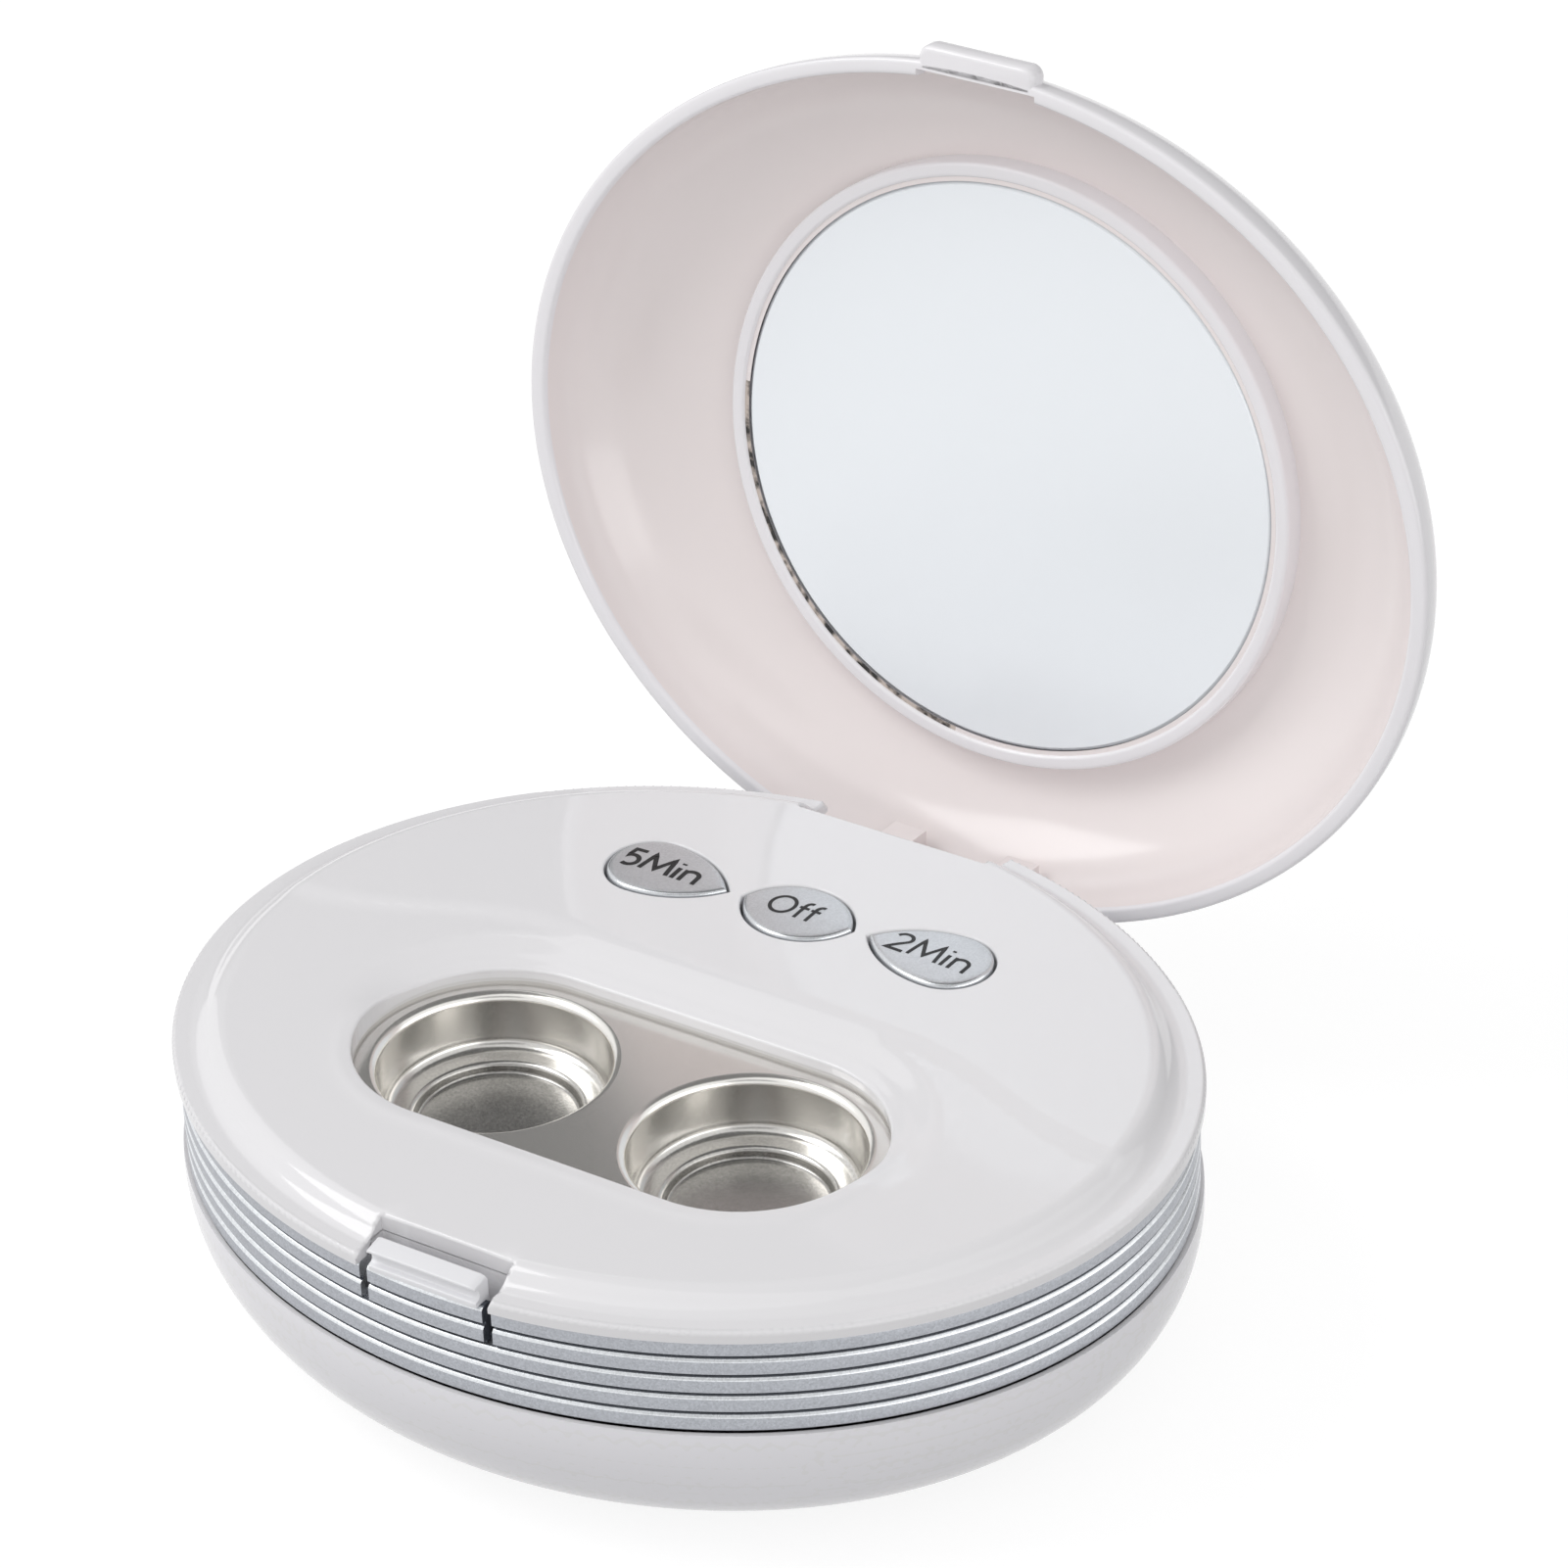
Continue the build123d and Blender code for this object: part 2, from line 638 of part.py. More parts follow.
with BuildPart() as tray_screws:
    screws(ear_places, tray_under_z, 1.8, 1.0, tray_screw_radius, tray_screw_length)
tray_screws.part.label = "tray_screws"
export_step(tray_screws.part, "parts/tray_screws.step")

# ---------------------------------------------------------------- transducers and their leads
for name, side in (("left", -1), ("right", 1)):
    with BuildPart() as transducer:
        with BuildSketch(Plane.XY.offset(transducer_top_z - transducer_thickness)):
            with Locations((side * cup_x, cup_y)):
                Circle(transducer_radius)
        extrude(amount=transducer_thickness)
    transducer.part.label = f"transducer_{name}"
    export_step(transducer.part, f"parts/transducer_{name}.step")

    with BuildPart() as transducer_leads:
        for lead_x in (side * cup_x - lead_spacing / 2, side * cup_x + lead_spacing / 2):
            lead([
                (lead_x, cup_y, transducer_top_z - transducer_thickness),
                (lead_x, cup_y, lead_z), (lead_x, lead_end_y, lead_z), (lead_x, lead_end_y, board_under_z),
            ], lead_bend, lead_radius)
    transducer_leads.part.label = f"transducer_leads_{name}"
    export_step(transducer_leads.part, f"parts/transducer_leads_{name}.step")

# ---------------------------------------------------------------- buttons and their switches
for name, middle in button_places.items():
    with BuildPart() as button:
        with BuildSketch(Plane.XY.offset(cap_flange_top_z - button_flange_thickness)):
            cap_outline(name, button_flange)
        extrude(amount=button_flange_thickness)
        with BuildSketch(Plane.XY.offset(cap_flange_top_z)):
            cap_outline(name)
        extrude(amount=button_top_z - cap_flange_top_z)
        chamfer(button.faces().sort_by(Axis.Z)[-1].edges(), button_round)
        with BuildSketch(Plane.XY.offset(stem_bottom_z)):
            with Locations((middle, button_y)):
                Circle(stem_radius)
        extrude(amount=stem_length)
    button.part.label = name
    export_step(button.part, f"parts/{name}.step")

    with BuildPart() as switch:
        with BuildSketch(Plane.XY.offset(board_top_z)):
            with Locations((middle, button_y)):
                Rectangle(switch_side, switch_side)
        extrude(amount=switch_height)
        with BuildSketch(Plane.XY.offset(board_top_z + switch_height)):
            with Locations((middle, button_y)):
                Circle(plunger_radius)
        extrude(amount=plunger_height)
    switch.part.label = name.replace("button", "switch")
    export_step(switch.part, f"parts/{switch.part.label}.step")

# ---------------------------------------------------------------- circuit board
with BuildPart() as circuit_board:
    with BuildSketch(Plane.XY.offset(board_under_z)):
        with Locations((0, board_y)):
            RectangleRounded(board_length, board_depth, 1)
        with Locations(*board_posts):
            Circle(board_screw_radius + 0.2, mode=Mode.SUBTRACT)
    extrude(amount=board_thickness)
circuit_board.part.label = "circuit_board"
export_step(circuit_board.part, "parts/circuit_board.step")

with BuildPart() as timer_chip:
    with BuildSketch(Plane.XY.offset(board_top_z)):
        with Locations((0, chip_y)):
            with GridLocations(leg_pitch, 1, 7, 1):
                Rectangle(0.4, chip_width + 2.2)
    extrude(amount=0.3)
    with BuildSketch(Plane.XY.offset(board_top_z + 0.2)):
        with Locations((0, chip_y)):
            Rectangle(chip_length, chip_width)
    extrude(amount=chip_height - 0.2)
timer_chip.part.label = "timer_chip"
export_step(timer_chip.part, "parts/timer_chip.step")

with BuildPart() as driver_coil:
    disc_stack([coil_place], [
        (coil_radius, board_under_z - coil_height, board_under_z - coil_height + 1, Mode.ADD),
        (coil_radius - 0.8, board_under_z - coil_height, board_under_z, Mode.ADD),
        (coil_radius, board_under_z - 1, board_under_z, Mode.ADD),
    ])
driver_coil.part.label = "driver_coil"
export_step(driver_coil.part, "parts/driver_coil.step")

with BuildPart() as capacitor:
    disc_stack([capacitor_place], [
        (capacitor_radius, board_under_z - capacitor_height, board_under_z, Mode.ADD),
    ])
    fillet(capacitor.faces().sort_by(Axis.Z)[0].edges(), 0.5)
capacitor.part.label = "capacitor"
export_step(capacitor.part, "parts/capacitor.step")

with BuildPart() as board_screws:
    screws(board_posts, board_under_z, 1.9, 1.1, board_screw_radius, board_screw_length)
board_screws.part.label = "board_screws"
export_step(board_screws.part, "parts/board_screws.step")

# ---------------------------------------------------------------- battery bay fittings
for name, row, pole in (("rear", 1, -1), ("front", -1, 1)):
    with BuildPart() as battery:
        nub_x = pole * (bay_length / 2 - contact_thickness)
        body_x = nub_x - pole * cell_nub_length
        tail_end_x = nub_x - pole * cell_length
        for end_x, near_x, radius in ((nub_x, body_x, cell_nub_radius), (body_x, tail_end_x, cell_radius)):
            with BuildSketch(Plane.YZ.offset(min(end_x, near_x))):
                with Locations((row * cell_spacing / 2, cell_z)):
                    Circle(radius)
            extrude(amount=abs(end_x - near_x))
    battery.part.label = f"battery_{name}"
    export_step(battery.part, f"parts/battery_{name}.step")

for name, row in (("positive", 1), ("negative", -1)):
    with BuildPart() as contact:
        with BuildSketch(Plane.YZ.offset(-bay_length / 2)):
            with Locations((row * cell_spacing / 2, cell_z)):
                Rectangle(contact_side, contact_side)
            with Locations((row * cell_spacing / 2, (cell_z + tail_top_z) / 2)):
                Rectangle(contact_tail, tail_top_z - cell_z)
        extrude(amount=contact_thickness)
    contact.part.label = f"contact_{name}"
    export_step(contact.part, f"parts/contact_{name}.step")

with BuildPart() as contact_link:
    with BuildSketch(Plane.YZ.offset(bay_length / 2 - contact_thickness)):
        with Locations((0, cell_z)):
            Rectangle(cell_spacing + contact_side, contact_side)
    extrude(amount=contact_thickness)
contact_link.part.label = "contact_link"
export_step(contact_link.part, "parts/contact_link.step")

with BuildPart() as battery_springs:
    for side in (-1, 1):
        foot_x = side * (bay_length / 2 - contact_thickness - spring_clearance)
        crown_x = foot_x - side * (spring_room - spring_sheet - 2 * spring_clearance)
        row_y = side * cell_spacing / 2
        bow = [
            (foot_x, cell_z - spring_half_height),
            (crown_x, cell_z),
            (foot_x, cell_z + spring_half_height),
        ]
        back = [(x - side * spring_sheet, z) for x, z in reversed(bow)]
        with BuildSketch(Plane.XZ.offset(-row_y - spring_width / 2)) as leaf:
            with BuildLine():
                Polyline(*bow, *back, close=True)
            make_face()
        extrude(leaf.sketch, amount=spring_width)
battery_springs.part.label = "battery_springs"
export_step(battery_springs.part, "parts/battery_springs.step")

with BuildPart() as battery_leads:
    for row, end in ((1, positive_end), (-1, negative_end)):
        start_y = row * cell_spacing / 2
        corner = (tail_x, end[1]) if row > 0 else (end[0], start_y)
        lead([
            (tail_x, start_y, tail_top_z), (tail_x, start_y, battery_lead_z),
            (*corner, battery_lead_z), (*end, battery_lead_z), (*end, board_under_z),
        ], lead_bend, battery_lead_radius)
battery_leads.part.label = "battery_leads"
export_step(battery_leads.part, "parts/battery_leads.step")

with BuildPart() as battery_door:
    with BuildSketch(Plane.XZ.offset(-door_width / 2)):
        with Locations((door_axis_x, door_axis_z)):
            Circle(door_thickness / 2)
        with Locations(((door_axis_x + door_length / 2) / 2, door_axis_z)):
            Rectangle(door_length / 2 - door_axis_x, door_thickness)
    extrude(amount=door_width)
    with BuildSketch(Plane.XZ.offset(-door_width / 2 - peg_length)):
        with Locations((door_axis_x, door_axis_z)):
            Circle(peg_radius)
    extrude(amount=door_width + 2 * peg_length)
    with BuildSketch(Plane.XY.offset(base_z)):
        with Locations((door_length / 2 - grip_inset, 0)):
            with GridLocations(grip_pitch, 1, grip_count, 1):
                Rectangle(0.8, grip_length)
    extrude(amount=0.4, mode=Mode.SUBTRACT)
battery_door.part.label = "battery_door"
export_step(battery_door.part, "parts/battery_door.step")

with BuildPart() as case_screws:
    screws(post_places, counterbore_z, 2.6, 1.8, case_screw_radius, case_screw_length)
case_screws.part.label = "case_screws"
export_step(case_screws.part, "parts/case_screws.step")

for name, place in foot_places.items():
    with BuildPart() as foot:
        disc_stack([place], [(foot_radius - 0.1, 0, base_z + foot_recess, Mode.ADD)])
        fillet(foot.faces().sort_by(Axis.Z)[0].edges(), 0.3)
    foot.part.label = name
    export_step(foot.part, f"parts/{name}.step")

# ---------------------------------------------------------------- lid
with BuildPart() as lid_shell:
    with BuildSketch(Plane.XZ) as lid_section:
        with BuildLine():
            skin = EllipticalCenterArc(
                (lid_top_radius, lid_rim_z), half_width - lid_top_radius, lid_height,
                start_angle=0, arc_size=90)
            lining = EllipticalCenterArc(
                (lid_floor_radius, lid_rim_z), half_width - lid_wall - lid_floor_radius,
                lid_inner_height, start_angle=0, arc_size=90)
            Polyline(skin @ 1, (0, lid_rim_z + lid_height), (0, lid_floor_z), lining @ 1)
            Line(skin @ 0, lining @ 0)
        make_face()
        fillet(lid_section.vertices().group_by(Axis.Y)[0], rim_round)
    revolve(axis=Axis.Z)
    scale(by=(1, lid_oval, 1))
    # bead ring round the mirror
    with BuildSketch(Plane.XY.offset(mirror_z - bead_ring_stand)):
        Circle(well_radius + bead_ring_width)
        Circle(well_radius, mode=Mode.SUBTRACT)
    extrude(amount=lid_floor_z + 0.5 - mirror_z + bead_ring_stand)
    # thumb lip, and the recess that leaves the rim as a hook for the latch
    with BuildSketch(Plane.XY.offset(lid_rim_z)) as lip:
        with Locations((0, lip_front_y + (lip_reach + lip_root) / 2)):
            Rectangle(2 * lip_half, lip_reach + lip_root)
        fillet(lip.vertices().group_by(Axis.Y)[0], lip_corner)
    extrude(amount=lip_height)
    recess_top_z = catch_top_z + catch_room
    for low_z, wall in ((lid_rim_z, hook_room + hook_depth), (lid_rim_z + hook_height, hook_room)):
        with BuildSketch(Plane.XY.offset(low_z)):
            with Locations((0, wall - rim_front_y + cutter / 2)):
                Rectangle(2 * (catch_half + hook_side_room), cutter)
        extrude(amount=recess_top_z - low_z, mode=Mode.SUBTRACT)
    # hinge lugs
    for left in (-lug_outer, lug_inner):
        with BuildSketch(Plane.YZ.offset(left)):
            with Locations((hinge_y, hinge_z)):
                Circle(knuckle_radius)
            with Locations((hinge_y + lug_offset, (hinge_z + lug_top_z) / 2)):
                Rectangle(lug_depth, lug_top_z - hinge_z)
        extrude(amount=lug_outer - lug_inner)
    with BuildSketch(Plane.YZ.offset(-lug_outer)):
        with Locations((hinge_y, hinge_z)):
            Circle(pin_radius + pin_play)
    extrude(amount=2 * lug_outer, mode=Mode.SUBTRACT)
lid_shell.part = opened(lid_shell.part)
lid_shell.part.label = "lid_shell"
export_step(lid_shell.part, "parts/lid_shell.step")

with BuildPart() as mirror:
    with BuildSketch(Plane.XY.offset(mirror_z)):
        Circle(mirror_radius)
    extrude(amount=mirror_thickness)
    chamfer(mirror.edges().group_by(Axis.Z)[0], mirror_bevel)
mirror.part = opened(mirror.part)
mirror.part.label = "mirror"
export_step(mirror.part, "parts/mirror.step")

with BuildPart() as mirror_pad:
    with BuildSketch(Plane.XY.offset(mirror_z + mirror_thickness)):
        Circle(mirror_radius - 1)
    extrude(amount=pad_thickness)
mirror_pad.part = opened(mirror_pad.part)
mirror_pad.part.label = "mirror_pad"
export_step(mirror_pad.part, "parts/mirror_pad.step")

# ---------------------------------------------------------------- hinge pin and spring
with BuildPart() as hinge_pin:
    with BuildSketch(Plane.YZ.offset(pin_end_gap - pocket_half)):
        with Locations((hinge_y, hinge_z)):
            Circle(pin_radius)
    extrude(amount=2 * (pocket_half - pin_end_gap))
hinge_pin.part.label = "hinge_pin"
export_step(hinge_pin.part, "parts/hinge_pin.step")

with BuildPart() as lid_spring:
    coil(
        coil_pitch, coil_right - coil_left - 2 * lid_spring_wire, lid_spring_radius,
        (coil_left + lid_spring_wire, hinge_y, hinge_z), (1, 0, 0), lid_spring_wire)
    leg_x = coil_left + lid_spring_wire
    leg_y = hinge_y - lid_spring_radius
    lead([
        (leg_x, leg_y, hinge_z), (leg_x, leg_y, leg_top_z), (leg_x - lid_spring_tip, leg_y, leg_top_z),
    ], 0.6, lid_spring_wire)
lid_spring.part.label = "lid_spring"
export_step(lid_spring.part, "parts/lid_spring.step")

# ---------------------------------------------------------------- latch
with BuildPart() as latch_face:
    with BuildSketch(Plane.XZ):
        band_profile(band_crest - latch_face_thickness)
    revolve(axis=Axis.Z)
    scale(by=(1, body_oval, 1))
    with BuildSketch(Plane.XY.offset(latch_root_z + latch_root_gap)):
        with Locations((0, tab_front_y)):
            Rectangle(2 * latch_half, cutter)
    extrude(amount=band_height, mode=Mode.INTERSECT)
latch_face.part.label = "latch_face"
export_step(latch_face.part, "parts/latch_face.step")

with BuildPart() as latch_catch:
    with BuildSketch(Plane.YZ.offset(-catch_half)) as catch_section:
        nose_y = tab_front_y - catch_nose
        nose_top_z = catch_top_z - catch_slope
        groove_z = nose_top_z - catch_nose_height
        with BuildLine():
            Polyline(
                (tab_back_y, latch_root_z + latch_root_gap), (tab_back_y, flange_z),
                (tab_front_y, flange_z), (tab_front_y, flange_z + catch_shelf),
                (tab_front_y + catch_neck, flange_z + catch_shelf_room),
                (tab_front_y + catch_neck, groove_z), (nose_y, groove_z), (nose_y, nose_top_z),
                (tab_front_y + catch_back, catch_top_z),
                (tab_front_y + catch_back + catch_slope, catch_top_z - catch_slope),
                (tab_front_y + catch_back + catch_slope, latch_root_z + latch_root_gap), close=True)
        make_face()
    extrude(amount=2 * catch_half)
    with BuildSketch(Plane.XY.offset(latch_root_z)):
        with Locations((0, tab_front_y)):
            Rectangle(2 * notch_half, cutter)
        oval_room = band_crest - latch_face_thickness
        Ellipse(oval_room, oval_room * body_oval, mode=Mode.SUBTRACT)
    extrude(amount=flange_z - latch_root_z, mode=Mode.SUBTRACT)
latch_catch.part.label = "latch_catch"
export_step(latch_catch.part, "parts/latch_catch.step")
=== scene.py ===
# %% [markdown]
# # An oval contact lens cleaner
#
# The object is a palm-sized oval case with a mirror lid. Its CAD solids hold every size and
# every joint. This file dresses them: each surface that the eye meets is built again as a fine
# mesh in the same place, and each one gets the finish that its real material has.
#
# Everything is in metres. `MM` turns the millimetres that a maker would say into metres.

# %% Load the frame
import json
import math

import bmesh
import bpy
import numpy as np
from mathutils import Matrix, Vector
from mathutils.geometry import delaunay_2d_cdt


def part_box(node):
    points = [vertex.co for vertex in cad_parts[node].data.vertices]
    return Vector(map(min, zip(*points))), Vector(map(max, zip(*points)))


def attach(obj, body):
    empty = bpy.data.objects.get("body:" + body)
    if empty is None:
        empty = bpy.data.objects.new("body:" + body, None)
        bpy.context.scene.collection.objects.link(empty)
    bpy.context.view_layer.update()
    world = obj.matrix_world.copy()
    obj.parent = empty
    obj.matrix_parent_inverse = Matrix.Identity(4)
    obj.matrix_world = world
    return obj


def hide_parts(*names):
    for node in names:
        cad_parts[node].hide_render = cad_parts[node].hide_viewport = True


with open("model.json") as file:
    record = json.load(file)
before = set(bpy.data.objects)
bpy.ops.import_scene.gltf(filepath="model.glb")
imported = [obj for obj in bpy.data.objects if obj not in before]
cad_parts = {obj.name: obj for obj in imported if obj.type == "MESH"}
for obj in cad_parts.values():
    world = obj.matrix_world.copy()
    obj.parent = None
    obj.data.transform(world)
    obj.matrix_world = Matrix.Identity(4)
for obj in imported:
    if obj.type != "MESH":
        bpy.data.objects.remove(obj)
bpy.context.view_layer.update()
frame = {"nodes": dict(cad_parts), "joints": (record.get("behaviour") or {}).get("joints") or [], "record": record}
MM = 0.001
joints = {joint["name"]: joint for joint in frame["joints"]}

# %% [markdown]
# The body is an oval: a circle squeezed along Y. Reading its sizes from the CAD boxes, instead
# of typing them again, means that the looks follow the model when a size changes.

# %% Sizes from the frame
def span_mm(node):
    """Lowest and highest corner of a CAD node, in millimetres."""
    low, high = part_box(node)
    return low / MM, high / MM


shell_high = span_mm("bottom_shell")[1]
band_low, band_high = span_mm("silver_band")
OVAL = shell_high.y / shell_high.x
HALF = span_mm("deck")[1].x             # middle to the flange's side
PARTING_Z = band_low.z                  # where the bowl meets the band
FLANGE_Z = band_high.z
FLANGE_TOP_Z = FLANGE_Z + 1.3           # the thin edge that the lid stands on
DECK_TOP_Z = FLANGE_Z + 3.4
DECK_UNDER_Z = DECK_TOP_Z - 2.2
TRAY_Z = span_mm("cup_tray")[1].z
CREST = band_high.x                     # rib crests
hinge_y, hinge_z = [place / MM for place in joints["lid_hinge"]["pos_m"][1:]]
OPEN_ANGLE = math.radians(joints["lid_hinge"]["range_deg"][1])
print("oval", round(OVAL, 4), "half width", round(HALF, 2), "band", PARTING_Z, FLANGE_Z)

# %% [markdown]
# ## Finishes
#
# A material here is a short chain of nodes ending in one Principled shader. Colours are written
# as they look on a screen, in sRGB hex, and one function turns them into the linear light that
# the renderer works in. Typing linear values would be shorter, but nobody can picture them.

# %% Colour helper
def linear(hex_colour):
    """An sRGB hex colour as linear RGBA."""
    channels = [int(hex_colour[i:i + 2], 16) / 255 for i in (1, 3, 5)]
    return [c / 12.92 if c <= 0.04045 else ((c + 0.055) / 1.055) ** 2.4 for c in channels] + [1.0]


print("middle grey is", round(linear("#808080")[0], 3), "as light")


# %% [markdown]
# A chain of nodes can be clicked together in the shader editor. Written down, it can be read and
# reused, as long as a node takes one line. So `node` adds one, sets its values and links its
# inputs, and `new_material` sets the shader's own sockets by name.

# %% Material and node helpers
def new_material(name, **shader_values):
    """A material with one Principled shader, whose sockets are set by name."""
    material = bpy.data.materials.new(name)
    material.use_nodes = True
    shader = material.node_tree.nodes["Principled BSDF"]
    for socket, value in shader_values.items():
        shader.inputs[socket.replace("_", " ")].default_value = value
    return material


def node(material, kind, settings=None, **inputs):
    """Adds a node. Inputs are values, or (node, output) pairs to link."""
    tree = material.node_tree
    made = tree.nodes.new(kind)
    for key, value in (settings or {}).items():
        setattr(made, key, value)
    for key, value in inputs.items():
        socket = made.inputs[key.replace("_", " ")]
        if isinstance(value, tuple) and hasattr(value[0], "outputs"):
            tree.links.new(value[0].outputs[value[1]], socket)
        else:
            socket.default_value = value
    return made


def into_shader(material, socket, source, output):
    """Links a node's output to the shader."""
    shader = material.node_tree.nodes["Principled BSDF"]
    material.node_tree.links.new(source.outputs[output], shader.inputs[socket])


print("helpers", [helper.__name__ for helper in (linear, new_material, node, into_shader)])

# %% [markdown]
# ### Moulded ABS
#
# The case is glossy injection-moulded ABS. Its tools are polished, so the plastic has a mirror
# gloss over a body colour, yet it is never perfectly flat: sink and flow leave a faint long
# waviness, and handling leaves patches that are a little less glossy. A noise of about 9 mm in
# the bump and one of about 14 mm in the roughness give that. ABS has an index near 1.54.

# %% Moulded plastic
def moulded_plastic(name, colour, roughness, wave_mm=9.0, wave_height_mm=0.004):
    """Glossy moulded plastic with a faint waviness and uneven gloss."""
    material = new_material(name, Base_Color=linear(colour), IOR=1.54)
    place = node(material, "ShaderNodeTexCoord")
    wave = node(material, "ShaderNodeTexNoise", Vector=(place, "Object"),
                Scale=1 / (wave_mm * MM), Detail=1.0)
    bump = node(material, "ShaderNodeBump", Height=(wave, "Fac"), Distance=wave_height_mm * MM, Strength=1.0)
    into_shader(material, "Normal", bump, "Normal")
    haze = node(material, "ShaderNodeTexNoise", Vector=(place, "Object"), Scale=1 / (14 * MM), Detail=3.0)
    gloss = node(material, "ShaderNodeMapRange", Value=(haze, "Fac"),
                 To_Min=roughness * 0.7, To_Max=roughness * 1.4)
    into_shader(material, "Roughness", gloss, "Result")
    return material


white_abs = moulded_plastic("white_abs", "#E8E7E9", 0.08)
bowl_abs = moulded_plastic("bowl_abs", "#EBEAEE", 0.16)
catch_abs = moulded_plastic("catch_abs", "#E9E9EC", 0.22)
lid_plastic = moulded_plastic("lid_plastic", "#EFEDF0", 0.14)
# The hollow's pinker white is a painted glow of light through the thin shell.
lid_painted_glow = moulded_plastic("lid_painted_glow", "#F0E8E7", 0.16)
print("plastics", [m.name for m in (white_abs, bowl_abs, catch_abs, lid_plastic, lid_painted_glow)])

# %% [markdown]
# ### Silver paint
#
# The band and the buttons are plastic under metallic paint: a clear lacquer with aluminium
# flakes in it. Each flake lies at its own slight tilt, so the paint sparkles in grains. Real
# flakes are about 0.03 mm. They are drawn at about 0.15 mm, as coarse as they need to be to show.
# Five paints share the recipe. On the band, a bright one on each bevel is a painted highlight and a dark one in
# each groove is painted shade.

# %% Silver paint
def silver_paint(name, colour, roughness, grain_mm=0.15, sparkle=0.10):
    """Metallic paint: fine flakes vary its brightness and tilt."""
    material = new_material(name, Metallic=0.85, Roughness=roughness)
    place = node(material, "ShaderNodeTexCoord")
    flakes = node(material, "ShaderNodeTexVoronoi", Vector=(place, "Object"), Scale=1 / (grain_mm * MM))
    tone = node(material, "ShaderNodeMapRange", Value=(flakes, "Color"),
                To_Min=1 - sparkle, To_Max=1 + sparkle)
    shade = node(material, "ShaderNodeMix", {"data_type": "RGBA", "blend_type": "MULTIPLY"})
    tree = material.node_tree
    shade.inputs["Factor"].default_value = 1.0
    colour_sockets = [s for s in shade.inputs if s.type == "RGBA"]
    colour_sockets[0].default_value = linear(colour)
    tree.links.new(tone.outputs["Result"], colour_sockets[1])
    colour_out = [s for s in shade.outputs if s.type == "RGBA"][0]
    tree.links.new(colour_out, tree.nodes["Principled BSDF"].inputs["Base Color"])
    bump = node(material, "ShaderNodeBump", Height=(flakes, "Distance"), Distance=0.01 * MM, Strength=0.35)
    into_shader(material, "Normal", bump, "Normal")
    return material


band_silver = silver_paint("band_silver", "#ADB0B6", 0.38, grain_mm=0.16, sparkle=0.16)
# The next two are painted light: a bright paint for the highlight on the ribs' bevels, and a dark one for the
# shade in their grooves.
band_painted_highlight = silver_paint("band_painted_highlight", "#E4E7EA", 0.30, grain_mm=0.16, sparkle=0.14)
band_painted_shade = silver_paint("band_painted_shade", "#5C6068", 0.5)
cap_silver = silver_paint("cap_silver", "#D2D4D7", 0.36, sparkle=0.08)
cap_edge = silver_paint("cap_edge", "#D0D3D6", 0.2, sparkle=0.05)
print("paints", [m.name for m in (band_silver, band_painted_highlight, band_painted_shade, cap_silver, cap_edge)])

# %% [markdown]
# ### Nickel-plated tray
#
# The tray is pressed from thin steel and plated with satin nickel. Nickel is a little warmer than silver, and the
# plating keeps a pearly grain of about 0.25 mm. The colour follows the depth: it grows darker and more speckled
# from the foot of the cups' drawn walls down to their floors.

# %% Satin nickel
FLOOR_DARK_BELOW_Z, BRIGHT_ABOVE_Z = 21.3, 23.6     # the cups' floors, and the foot of their walls


def satin_nickel(name, colour, roughness):
    """Plated steel with a fine pearly grain."""
    material = new_material(name, Base_Color=linear(colour), Metallic=1.0)
    place = node(material, "ShaderNodeTexCoord")
    grain = node(material, "ShaderNodeTexNoise", Vector=(place, "Object"), Scale=1 / (0.25 * MM), Detail=2.0)
    gloss = node(material, "ShaderNodeMapRange", Value=(grain, "Fac"),
                 To_Min=roughness * 0.75, To_Max=roughness * 1.3)
    into_shader(material, "Roughness", gloss, "Result")
    height = node(material, "ShaderNodeSeparateXYZ", Vector=(place, "Object"))
    depth = node(material, "ShaderNodeMapRange", Value=(height, "Z"),
                 From_Min=FLOOR_DARK_BELOW_Z * MM, From_Max=BRIGHT_ABOVE_Z * MM)
    speckle = node(material, "ShaderNodeMapRange", Value=(grain, "Fac"), To_Min=0.28, To_Max=0.62)
    darker_towards_floor = node(material, "ShaderNodeMix", Factor=(depth, "Result"), A=(speckle, "Result"), B=1.0)
    plate_colour = node(material, "ShaderNodeHueSaturation", Color=linear(colour), Value=(darker_towards_floor, "Result"))
    into_shader(material, "Base Color", plate_colour, "Color")
    bump = node(material, "ShaderNodeBump", Height=(grain, "Fac"), Distance=0.003 * MM, Strength=0.3)
    into_shader(material, "Normal", bump, "Normal")
    return material


nickel = satin_nickel("satin_nickel", "#EDEBE7", 0.2)
print("nickel", len(nickel.node_tree.nodes), "nodes")

# %% [markdown]
# ### Silvered glass and ink
#
# The mirror is float glass. A true mirror would show the studio's cards, so this is a smooth pale surface with
# very little metal in it, whose soft pale tone is a painted reflection of the white studio. The ink is
# pad-printed, flat black and a little uneven in its gloss. One helper serves both: it lets the roughness wander
# round a middle value, in patches of a size.

# %% Silvered glass and ink
def uneven_gloss(material, roughness, grain_mm, spread=0.25):
    """Lets a finish's roughness wander by a share of itself, in patches of a given size."""
    place = node(material, "ShaderNodeTexCoord")
    marks = node(material, "ShaderNodeTexNoise", Vector=(place, "Object"),
                 Scale=1 / (grain_mm * MM), Detail=3.0)
    gloss = node(material, "ShaderNodeMapRange", Value=(marks, "Fac"),
                 To_Min=roughness * (1 - spread), To_Max=roughness * (1 + spread))
    into_shader(material, "Roughness", gloss, "Result")
    return material


